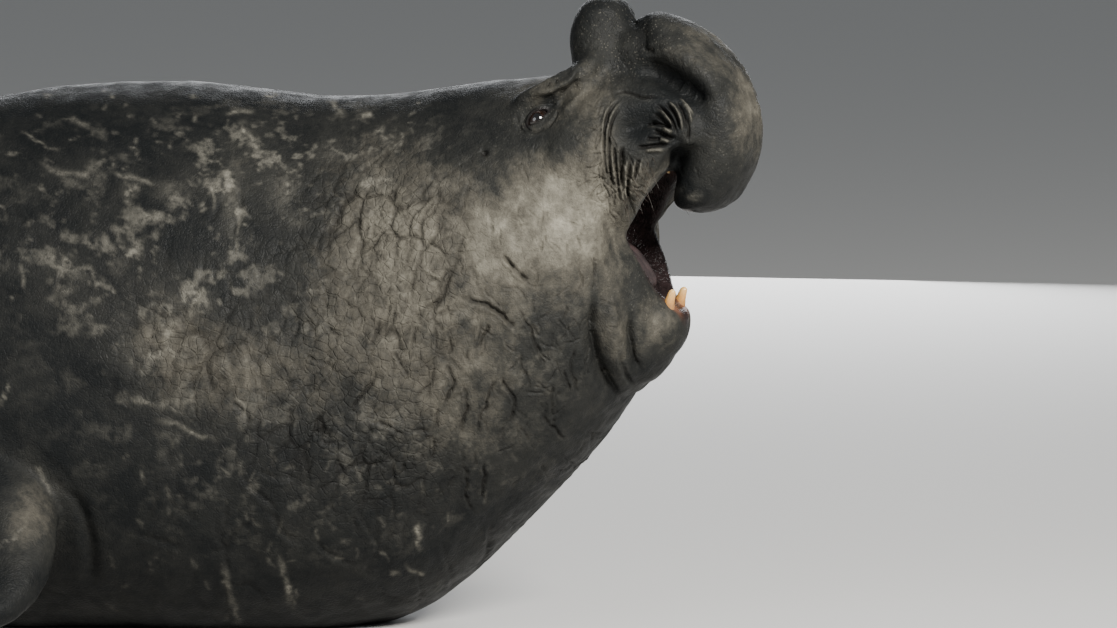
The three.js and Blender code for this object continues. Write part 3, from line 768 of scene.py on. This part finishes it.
def lumpy(s, shield, nose, skin):
    """Fat and muscle beneath the skin, cushions on the shield, and the nose's soft bulges."""
    head = head_share(s)
    lumps = 0.006 * noise(s, (0.3, 0.3, 0.45), 1) + 0.003 * noise(s, 0.11, 2)
    cushions = 0.0024 * noise(s, (0.045, 0.045, 0.06), 3) + 0.0014 * noise(s, 0.022, 4)
    push = lumps * (1 - head) + cushions * (0.25 + shield) * (1 - 0.6 * head)
    push += 0.0012 * head * noise(s, 0.018, 7)
    return push * skin + 0.004 * nose * noise(s, 0.09, 8)


def scarred(view, rng, ridge_highlight):
    """How pale old wounds and worn fur leave the hide, from 0 to 1, always with ragged edges, with painted
    highlight added on the proud wrinkle ridges.
    """
    s = view.straight
    ragged = noise(s, (0.05, 0.05, 0.04), 31) + 0.7 * noise(s, 0.02, 32) + 0.5 * noise(s, 0.009, 33)
    worn = smoothstep(ragged, 0.15, 1.0)
    flakes = np.clip(blobs(view, FLAKES), 0, 1)
    scar_and_highlight = np.clip(blobs(view, BLOTCHES), 0, 1) * (0.35 + 0.9 * worn) + 0.6 * flakes * worn
    places = view.uv + 2.4 * view.waver
    scattered = [stroke for field in SCATTERED_SCARS for stroke in random_strokes(rng, *field)]
    for strength, width, *points in [(1, *line) for line in SCARS] + scattered:
        near, distance, _, along = near_line(places, smooth_line(points), width * 4)
        streak = bell(distance, width) * tapered(along, 0.3) * strength * view.facing[near]
        scar_and_highlight[near] = np.maximum(scar_and_highlight[near], streak * (0.45 + 0.55 * worn[near]))
    # painted highlight: the proud ridges of the hood's wrinkles are made paler
    return np.clip(scar_and_highlight + 0.5 * ridge_highlight, 0, 1)


def lightness(view):
    """How light the fur is, from 0 on the wet back to 1, with painted shade laid over the head's hollows,
    creases and the nose's overhang.
    """
    s = view.straight
    rear = 0.16 * smoothstep(-s[:, 0], -0.1, 0.6) * smoothstep(0.9 - s[:, 2], -0.2, 0.5)
    tone = np.maximum(np.clip(blobs(view, TONES), 0, 1), rear + 0.04)
    tone *= 1 + 0.16 * noise(s, 0.03, 41) + 0.12 * noise(s, (0.012, 0.012, 0.03), 42)
    # painted shade: darker in the head's hollows and creases and under the nose's overhang
    return tone * (1 - 0.9 * np.clip(blobs(view, PAINTED_SHADES), 0, 1))


def gum_share(p):
    """1 on the skin round the teeth's roots."""
    gum = np.zeros(len(p))
    for tooth in TEETH:
        low, high = (np.array(corner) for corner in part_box(tooth))
        root = (low + high) / 2
        root[2] = low[2] + ROOT_DEPTH if "lower" in tooth else high[2] - ROOT_DEPTH
        gum = np.maximum(gum, bell(np.linalg.norm(p - root, axis=1), GUM_RADIUS))
    return gum


def rested(p):
    """Lets the underside down onto the floor, and no lower."""
    drop = 0.003
    low = smoothstep(-p[:, 2], -0.02, -0.004)
    p[:, 2] = np.maximum(p[:, 2], 0) * (1 - low) + np.maximum(p[:, 2] - drop, 0) * low


def sculpted(mesh):
    """Cuts cracks, folds and lids into the hide and marks where its colours go, painted shade and highlight
    among them.
    """
    p, n = places_of(mesh), normals_of(mesh)
    view = View(p, n)
    s = view.straight
    limb, mouth, shield = limb_share(p), mouth_share(s), shield_share(view)
    nose = smoothstep(s[:, 2] - 0.6 * (s[:, 0] - 1.4), 1.16, 1.24) * head_share(s)
    ear = bell(np.hypot(*(view.uv - EAR_HOLE).T), EAR_RADIUS) * view.facing
    rng = np.random.default_rng(11)

    push, dark, ridge_highlight = creased(view, rng)
    push -= MILLIMETRE * blobs(view, [(depth, radius, radius, u, v) for depth, radius, u, v in HOLLOWS])
    push += lumpy(s, shield, nose, (1 - limb) * (1 - mouth))
    crazed(s, shield, push, dark)
    push -= EAR_DEPTH * ear
    p += n * (push * (1 - 0.8 * limb))[:, None]
    rim = shape_lids(p)
    rested(p)
    place(mesh, p)

    marks = {
        # the fur's tone, with painted shade on the head
        "tone": lightness(view),
        # pale scars and worn fur, with painted highlight on the wrinkle ridges
        "scar_and_highlight": scarred(view, rng, ridge_highlight),
        # painted shade in the cracks, creases, shield edges and the ear hole
        "painted_groove_shade": np.clip(dark + ear, 0, 1),
        "mouth": mouth,
        "gum": gum_share(p),
        "rim": rim,
        "limb": limb,
        "shield": shield,
        "stipple": np.clip(nose + blobs(view, STIPPLED), 0, 1) * (1 - mouth),
    }
    for name, values in marks.items():
        set_values(mesh, name, values)
    mesh.shade_smooth()


# Materials
def add(tree, kind, inputs=None, **settings):
    """A shader node with its settings, and its inputs set to values or linked to other nodes' outputs."""
    node = tree.nodes.new(kind)
    for key, value in settings.items():
        setattr(node, key, value)
    for key, value in (inputs or {}).items():
        if isinstance(value, bpy.types.NodeSocket):
            tree.links.new(value, node.inputs[key])
        else:
            node.inputs[key].default_value = value
    return node


def attribute(tree, name):
    return add(tree, "ShaderNodeAttribute", attribute_name=name).outputs["Fac"]


def maths(tree, operation, *values, clamp=False):
    inputs = dict(enumerate(values))
    return add(tree, "ShaderNodeMath", inputs, operation=operation, use_clamp=clamp).outputs[0]


def mix(tree, share, a, b):
    """Colour a with a share of colour b over it."""
    return add(tree, "ShaderNodeMix", {"Factor": share, 6: a, 7: b}, data_type="RGBA").outputs[2]


def spread(tree, value, low, high, to_low=0.0, to_high=1.0):
    """A value eased from one range onto another."""
    limits = {0: value, 1: low, 2: high, 3: to_low, 4: to_high}
    return add(tree, "ShaderNodeMapRange", limits, interpolation_type="SMOOTHSTEP").outputs[0]


def noise_texture(tree, where, scale, detail, roughness=0.5, output="Fac"):
    settings = {"Vector": where, "Scale": scale, "Detail": detail, "Roughness": roughness}
    return add(tree, "ShaderNodeTexNoise", settings).outputs[output]


def cell_texture(tree, where, scale, feature="F1"):
    settings = {"Vector": where, "Scale": scale, "Randomness": 1.0}
    return add(tree, "ShaderNodeTexVoronoi", settings, feature=feature).outputs["Distance"]


def relief(tree, height, distance, strength, normal=None):
    """A bump over another's normal."""
    settings = {"Height": height, "Distance": distance, "Strength": strength}
    if normal is not None:
        settings["Normal"] = normal
    return add(tree, "ShaderNodeBump", settings).outputs[0]


def ramp(tree, value, stops):
    node = add(tree, "ShaderNodeValToRGB", {0: value})
    bar = node.color_ramp.elements
    while len(bar) < len(stops):
        bar.new(0.5)
    for element, (at, colour) in zip(bar, stops):
        element.position = at
        element.color = (*colour, 1)
    return node.outputs["Color"]


def group(name, inputs, outputs):
    """An empty shader node group: its tree, its input node and its output node."""
    tree = bpy.data.node_groups.new(name, "ShaderNodeTree")
    for key, (kind, value) in inputs.items():
        socket = tree.interface.new_socket(key, in_out="INPUT", socket_type=kind)
        if value is not None:
            socket.default_value = value
    for key, kind in outputs.items():
        tree.interface.new_socket(key, in_out="OUTPUT", socket_type=kind)
    return tree, tree.nodes.new("NodeGroupInput"), tree.nodes.new("NodeGroupOutput")


def grain_group():
    """Fine relief and uneven wetness, for skin, tongue, teeth and claws."""
    inputs = {
        "Size": ("NodeSocketFloat", 200.0),
        "Height": ("NodeSocketFloat", 0.0006),
        "Normal": ("NodeSocketVector", None),
    }
    outputs = {"Normal": "NodeSocketVector", "Wet": "NodeSocketFloat"}
    tree, given, made = group("fine_grain", inputs, outputs)
    where = add(tree, "ShaderNodeTexCoord").outputs["Object"]
    coarse = noise_texture(tree, where, 22.0, 5.0)
    fine = noise_texture(tree, where, given.outputs["Size"], 4.0)
    bump = relief(tree, fine, given.outputs["Height"], 1.0, given.outputs["Normal"])
    tree.links.new(bump, made.inputs["Normal"])
    tree.links.new(spread(tree, coarse, 0.38, 0.62), made.inputs["Wet"])
    return tree


def material(name):
    made = bpy.data.materials.new(name)
    made.use_nodes = True
    tree = made.node_tree
    return made, tree, tree.nodes["Principled BSDF"]


def link(tree, output, shader, key):
    tree.links.new(output, shader.inputs[key])


def use_group(tree, grain, size, height, normal=None):
    node = add(tree, "ShaderNodeGroup", node_tree=grain)
    node.inputs["Size"].default_value = size
    node.inputs["Height"].default_value = height
    if normal is None:
        normal = add(tree, "ShaderNodeNewGeometry").outputs["Normal"]
    tree.links.new(normal, node.inputs["Normal"])
    return node


HIDE_TONES = [
    (0.0, (0.0070, 0.0078, 0.0080)),
    (0.2, (0.020, 0.020, 0.018)),
    (0.42, (0.062, 0.057, 0.046)),
    (0.68, (0.135, 0.125, 0.100)),
    (1.0, (0.260, 0.243, 0.196)),
]
# pale scars, worn fur and flecks, and painted highlight on the wrinkle ridges
PALE_MARK = (0.165, 0.155, 0.128, 1)
# painted shade for cracks, creases, the shield's cut edges and the ear hole
GROOVE_SHADE_COLOUR = (0.008, 0.007, 0.006, 1)
# the mouth's own dark lining, made near black with painted shade of its hollow
MOUTH_LINING_AND_SHADE = [(0.35, (0.004, 0.003, 0.003)), (0.62, (0.020, 0.013, 0.013))]
LID_RIM = (0.012, 0.010, 0.010, 1)
GUM = (0.34, 0.150, 0.085, 1)
HORN_TONES = [(0.3, (0.02, 0.017, 0.014)), (0.7, (0.07, 0.055, 0.04))]
TONGUE_TONES = [(0.3, (0.012, 0.008, 0.008)), (0.7, (0.045, 0.028, 0.027))]
WHISKER_TONES = [(0.3, (0.02, 0.016, 0.012)), (0.7, (0.05, 0.04, 0.03))]


def hide_material(grain):
    """Blotched fur, pale scars, painted shade in cracks, creases and the head's hollows, painted highlight
    on wrinkle ridges and the mouth's lining darkened with painted shade, wet where the fur is dark.
    """
    made, tree, shader = material("seal_hide")
    where = add(tree, "ShaderNodeTexCoord").outputs["Object"]
    patches = noise_texture(tree, where, 9.0, 8.0, 0.7)
    mottle = noise_texture(tree, where, 46.0, 8.0, 0.75)
    warp = noise_texture(tree, where, 12.0, 3.0, output="Color")
    shift = add(tree, "ShaderNodeVectorMath", {0: warp, "Scale": 0.02}, operation="SCALE").outputs[0]
    warped = add(tree, "ShaderNodeVectorMath", {0: where, 1: shift}, operation="ADD").outputs[0]
    cells = cell_texture(tree, warped, 42.0, "DISTANCE_TO_EDGE")
    fine_cells = cell_texture(tree, warped, 110.0, "DISTANCE_TO_EDGE")
    dots = cell_texture(tree, where, 130.0)
    tone, scar_and_highlight, painted_groove_shade = attribute(tree, "tone"), attribute(tree, "scar_and_highlight"), attribute(tree, "painted_groove_shade")
    mouth, gum, rim = attribute(tree, "mouth"), attribute(tree, "gum"), attribute(tree, "rim")
    shield, stipple, limb = attribute(tree, "shield"), attribute(tree, "stipple"), attribute(tree, "limb")

    # light and dark fur, blotched, darkened where painted shade lies on the head
    blotch = maths(tree, "SUBTRACT", patches, 0.5)
    level = maths(tree, "MULTIPLY_ADD", blotch, maths(tree, "MULTIPLY_ADD", tone, 0.8, 0.4), tone)
    fleck = maths(tree, "SUBTRACT", mottle, 0.5)
    level = maths(tree, "MULTIPLY_ADD", fleck, maths(tree, "MULTIPLY_ADD", tone, 1.1, 0.18), level)
    colour = ramp(tree, level, HIDE_TONES)
    # pale scars and worn fur, with painted highlight on the proud wrinkle ridges
    worn = maths(tree, "MULTIPLY", scar_and_highlight, spread(tree, mottle, 0.3, 0.62, 0.15, 1.0))
    colour = mix(tree, worn, colour, PALE_MARK)
    speckle = maths(tree, "MULTIPLY", spread(tree, dots, 0.34, 0.12), spread(tree, mottle, 0.42, 0.6))
    speckle = maths(tree, "MULTIPLY", speckle, maths(tree, "MULTIPLY_ADD", stipple, 0.34, 0.04))
    colour = mix(tree, speckle, colour, PALE_MARK)
    # painted shade in cracks, creases, the shield's cut edges and the ear hole
    colour = mix(tree, maths(tree, "MULTIPLY", painted_groove_shade, 0.85), colour, GROOVE_SHADE_COLOUR)
    # the mouth's lining, near black with painted shade
    colour = mix(tree, mouth, colour, ramp(tree, mottle, MOUTH_LINING_AND_SHADE))
    colour = mix(tree, maths(tree, "MULTIPLY", gum, mouth), colour, GUM)
    colour = mix(tree, maths(tree, "MULTIPLY", rim, 0.85), colour, LID_RIM)
    link(tree, colour, shader, "Base Color")

    # relief: crazed shield, pores and short flat hair
    net = spread(tree, cells, 0.0, 0.12)
    net = maths(tree, "MULTIPLY", net, maths(tree, "MULTIPLY_ADD", shield, 0.8, 0.2))
    bumps = relief(tree, net, 0.0018, 0.8)
    bumps = relief(tree, spread(tree, fine_cells, 0.0, 0.22), 0.0006, 0.7, bumps)
    dimples = maths(tree, "MULTIPLY", spread(tree, dots, 0.3, 0.1), stipple)
    bumps = relief(tree, dimples, 0.0012, 0.7, bumps)
    lay = add(tree, "ShaderNodeMapping", {"Vector": where, "Scale": (90.0, 420.0, 420.0)})
    bumps = relief(tree, noise_texture(tree, lay.outputs[0], 1.0, 3.0), 0.0006, 0.5, bumps)
    fine = use_group(tree, grain, 260.0, 0.0008, bumps)
    link(tree, fine.outputs["Normal"], shader, "Normal")

    # the dark back is wet, the pale shield and cheek dry off
    dry = spread(tree, tone, 0.05, 0.7, 0.46, 0.62)
    rough = maths(tree, "MULTIPLY_ADD", fine.outputs["Wet"], 0.14, dry)
    rough = maths(tree, "MULTIPLY_ADD", maths(tree, "MAXIMUM", mouth, rim), -0.3, rough, clamp=True)
    rough = maths(tree, "MULTIPLY_ADD", limb, 0.05, rough)
    link(tree, rough, shader, "Roughness")
    shader.inputs["Specular IOR Level"].default_value = 0.09
    return made


def plain_material(name, grain, stops, size, height, roughness, coat=0.0):
    """Horn or tongue: a mottled colour, fine relief and some wetness."""
    made, tree, shader = material(name)
    where = add(tree, "ShaderNodeTexCoord").outputs["Object"]
    mottle = noise_texture(tree, where, 30.0, 4.0)
    link(tree, ramp(tree, mottle, stops), shader, "Base Color")
    fine = use_group(tree, grain, size, height)
    link(tree, fine.outputs["Normal"], shader, "Normal")
    shader.inputs["Roughness"].default_value = roughness
    shader.inputs["Coat Weight"].default_value = coat
    shader.inputs["Coat Roughness"].default_value = 0.08
    return made


def tooth_material(grain):
    """Ivory stained brown towards the gum, by the crown attribute that runs from gum to tip."""
    made, tree, shader = material("stained_tooth")
    where = add(tree, "ShaderNodeTexCoord").outputs["Object"]
    streak = noise_texture(tree, where, 140.0, 3.0)
    level = maths(tree, "MULTIPLY_ADD", maths(tree, "SUBTRACT", streak, 0.5), 0.5, attribute(tree, "crown"))
    stops = [(0.1, (0.20, 0.085, 0.03)), (0.55, (0.50, 0.24, 0.06)), (1.0, (0.70, 0.44, 0.16))]
    link(tree, ramp(tree, level, stops), shader, "Base Color")
    fine = use_group(tree, grain, 500.0, 0.0003)
    link(tree, fine.outputs["Normal"], shader, "Normal")
    shader.inputs["Roughness"].default_value = 0.32
    shader.inputs["Coat Weight"].default_value = 0.4
    shader.inputs["Coat Roughness"].default_value = 0.06
    return made


def eye_material():
    """A wet eyeball: black pupil, dark brown iris and a dark white, by the distance from the gaze."""
    made, tree, shader = material("wet_eye")
    gaze = attribute(tree, "gaze")
    where = add(tree, "ShaderNodeTexCoord").outputs["Object"]
    fibres = noise_texture(tree, where, 700.0, 2.0)
    level = maths(tree, "MULTIPLY_ADD", maths(tree, "SUBTRACT", fibres, 0.5), 0.05, gaze)
    stops = [
        (0.0, (0.003, 0.003, 0.003)), (0.24, (0.004, 0.003, 0.003)), (0.3, (0.013, 0.006, 0.004)),
        (0.5, (0.009, 0.005, 0.003)), (0.56, (0.004, 0.003, 0.003)), (0.68, (0.022, 0.016, 0.014)),
        (1.0, (0.04, 0.025, 0.022)),
    ]
    link(tree, ramp(tree, level, stops), shader, "Base Color")
    shader.inputs["Roughness"].default_value = 0.12
    shader.inputs["Coat Weight"].default_value = 1.0
    shader.inputs["Coat Roughness"].default_value = 0.02
    return made


# Pieces beside the hide
TOOTH_SWELL = 0.004  # the lower canines are this much fuller than their solids
CROWN = 0.055  # length over which a tooth's stain fades
TEETH = [f"{jaw}_canine_{side}" for jaw in ("lower", "upper") for side in ("right", "left")]
GAZE_REACH = 1.25  # angle from the gaze, in radians, at which the eye's colours end
CLAWS = [f"claw_{side}_{i + 1}" for side in ("right", "left") for i in range(5)]


def smooth_piece(node, voxel, rounds):
    """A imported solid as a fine, smooth mesh."""
    places, faces = gathered([node])
    fine = level_set(places, faces, voxel).convertToQuads(0)
    mesh = without_loose_places(mesh_of(node, fine[0], outer_faces(*fine)))
    relax(mesh, 0.8, rounds)
    mesh.shade_smooth()
    return mesh


def dress(name, mesh, look, nodes):
    thing = new_object(name, mesh)
    mesh.materials.append(look)
    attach(thing, "root")
    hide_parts(*nodes)


def eyeball(side, look):
    centre, radius, _, _, out = eye_frame(side)
    work = bmesh.new()
    bmesh.ops.create_uvsphere(work, u_segments=96, v_segments=64, radius=radius)
    mesh = bpy.data.meshes.new(f"eyeball_{side}")
    work.to_mesh(mesh)
    work.free()
    p = places_of(mesh)
    gaze = np.arccos(np.clip(p @ out / radius, -1, 1))
    p += p / radius * (0.0014 * bell(gaze, 0.42))[:, None]  # the cornea stands a little proud
    place(mesh, p + centre)
    set_values(mesh, "gaze", gaze / GAZE_REACH)
    mesh.shade_smooth()
    dress(f"eyeball_{side}", mesh, look, [f"eye_{side}"])


def tongue_mesh():
    mesh = smooth_piece("tongue", 0.003, 14)
    p, n = places_of(mesh), normals_of(mesh)
    s = swing(p, -1)
    groove = bell(s[:, 1], 0.008) * (n[:, 2] > 0)
    place(mesh, p - n * (0.005 * groove + 0.0008 * (noise(p, 0.006, 9) + 1))[:, None])
    return mesh


# Whiskers: in each row where it starts and ends in the picture, and how many it has
WHISKER_ROWS = [
    ((622, 190), (652, 158), 7),
    ((624, 200), (650, 168), 7),
    ((628, 206), (652, 176), 7),
    ((545, 84), (556, 80), 3),
]
WHISKER_LENGTH = 0.045
WHISKER_RADIUS = 0.0011
WHISKER_ROOT = 0.003  # how deep it starts in the hide
WHISKER_RINGS, WHISKER_SIDES = 6, 5
BAKE_PATCH = 0.003  # each whisker's size on the unwrapped skin


def whisker_rows(rng):
    """Each whisker's root in the picture."""
    for start, end, count in WHISKER_ROWS:
        for k in range(count):
            share = (k + rng.uniform(-0.3, 0.3)) / max(count - 1, 1)
            yield np.array(start) + (np.array(end) - start) * share


def whiskers(hide, look):
    """Short stiff whiskers on the upper lip and over the eyes, each rooted in the hide."""
    p, n = places_of(hide), normals_of(hide)
    view = View(p, n)
    rng = np.random.default_rng(5)
    down = np.array([0, 0, -1.0])
    places, faces, marks = [], [], []
    for far in (False, True):
        pool = np.where((view.far == far) & (view.facing > 0.5) & (head_share(view.straight) > 0.9))[0]
        for at in whisker_rows(rng):
            root = pool[((view.uv[pool] - at) ** 2).sum(axis=1).argmin()]
            away = 0.8 * n[root] + np.array([0.3, 0.1 if far else -0.1, -0.45]) + rng.normal(0, 0.12, 3)
            away /= np.linalg.norm(away)
            side = np.cross(away, (0, 0, 1))
            side /= np.linalg.norm(side)
            other = np.cross(side, away)
            length = WHISKER_LENGTH * rng.uniform(0.6, 1.3)
            x, y, z = view.straight[root]
            unrolled = math.atan2(z - 1, y) / math.tau + 0.5, x / 6 + 0.5
            base = len(places)
            for i in range(WHISKER_RINGS):
                t = i / (WHISKER_RINGS - 1)
                centre = p[root] + away * (t * length - WHISKER_ROOT) + down * 0.25 * length * t * t
                reach = WHISKER_RADIUS * (1 - 0.85 * t)
                for j in range(WHISKER_SIDES):
                    a = j / WHISKER_SIDES * math.tau
                    places.append(centre + reach * (math.cos(a) * side + math.sin(a) * other))
                    patch = BAKE_PATCH / 2 * math.cos(a), BAKE_PATCH * (t - 0.5)
                    marks.append((unrolled[0] + patch[0], unrolled[1] + patch[1]))
            for ring in range(WHISKER_RINGS - 1):
                for j in range(WHISKER_SIDES):
                    a = base + ring * WHISKER_SIDES + j
                    b = base + ring * WHISKER_SIDES + (j + 1) % WHISKER_SIDES
                    faces.append((a, b, b + WHISKER_SIDES, a + WHISKER_SIDES))
            tip = base + (WHISKER_RINGS - 1) * WHISKER_SIDES
            faces.append(tuple(base + j for j in range(WHISKER_SIDES))[::-1])
            faces.append(tuple(tip + j for j in range(WHISKER_SIDES)))
    mesh = mesh_of("whiskers", places, faces)
    layer = mesh.uv_layers.new(name="OFBake")
    for loop in mesh.loops:
        layer.data[loop.index].uv = marks[loop.vertex_index]
    mesh.shade_smooth()
    thing = new_object("whiskers", mesh)
    mesh.materials.append(look)
    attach(thing, "root")


def build():
    grain = grain_group()
    skin = base_skin()
    sculpted(skin)
    dress("hide", skin, hide_material(grain), FLESH)
    eye_look = eye_material()
    for side in ("right", "left"):
        eyeball(side, eye_look)
    tooth_look = tooth_material(grain)
    for tooth in TEETH:
        mesh = smooth_piece(tooth, 0.0011, 6)
        upward = 1 if "lower" in tooth else -1
        if "lower" in tooth:
            place(mesh, places_of(mesh) + TOOTH_SWELL * normals_of(mesh))
        height = upward * places_of(mesh)[:, 2]
        set_values(mesh, "crown", (height - height.max() + CROWN) / CROWN)
        dress(f"{tooth}_dressed", mesh, tooth_look, [tooth])
    horn = plain_material("claw_horn", grain, HORN_TONES, 400.0, 0.0004, 0.4)
    for claw in CLAWS:
        dress(f"{claw}_dressed", smooth_piece(claw, 0.0013, 5), horn, [claw])
    flesh = plain_material("wet_tongue", grain, TONGUE_TONES, 300.0, 0.0007, 0.5, 0.2)
    dress("tongue_dressed", tongue_mesh(), flesh, ["tongue"])
    bristle = plain_material("whisker_horn", grain, WHISKER_TONES, 400.0, 0.0002, 0.4)
    whiskers(skin, bristle)


# Studio
FLOOR_SIZE = 80


def light(name, place, aim, size, power, colour):
    lamp = bpy.data.lights.new(name, "AREA")
    lamp.shape = "DISK"
    lamp.size = size
    lamp.energy = power
    lamp.color = colour
    thing = bpy.data.objects.new(name, lamp)
    thing.location = place
    thing.rotation_euler = (Vector(aim) - Vector(place)).to_track_quat("-Z", "Y").to_euler()
    bpy.context.scene.collection.objects.link(thing)


def studio():
    paint, _, shader = material("studio_floor")
    shader.inputs["Base Color"].default_value = (0.62, 0.61, 0.59, 1)
    shader.inputs["Roughness"].default_value = 0.85
    half = FLOOR_SIZE / 2
    corners = [(-half, -half, 0), (half, -half, 0), (half, half, 0), (-half, half, 0)]
    floor = new_object("studio_floor", mesh_of("studio_floor", corners, [(0, 1, 2, 3)]))
    floor.data.materials.append(paint)

    light("key", (6.2, -6.0, 5.6), (1.0, 0, 0.8), 3.0, 1900, (1, 0.98, 0.94))
    light("fill", (-4.5, -9.0, 3.4), (0.3, 0, 0.6), 6.0, 240, (0.93, 0.97, 1))
    light("far_side", (0.0, 9.0, 2.8), (-0.4, 0, 0.5), 6.0, 480, (0.95, 0.97, 1))
    world = bpy.data.worlds.new("studio")
    world.use_nodes = True
    world.node_tree.nodes["Background"].inputs["Color"].default_value = (0.72, 0.76, 0.8, 1)
    world.node_tree.nodes["Background"].inputs["Strength"].default_value = 0.3
    bpy.context.scene.world = world

    lens = bpy.data.cameras.new("camera")
    lens.sensor_width = SENSOR
    lens.lens = SENSOR * CAMERA_DISTANCE / (METRES_PER_PIXEL * PICTURE[0])
    lens.clip_end = 100
    camera = bpy.data.objects.new("camera", lens)
    camera.location = TARGET + TO_CAMERA * CAMERA_DISTANCE
    camera.rotation_euler = Vector(-TO_CAMERA).to_track_quat("-Z", "Y").to_euler()
    bpy.context.scene.collection.objects.link(camera)
    bpy.context.scene.camera = camera


build()
studio()
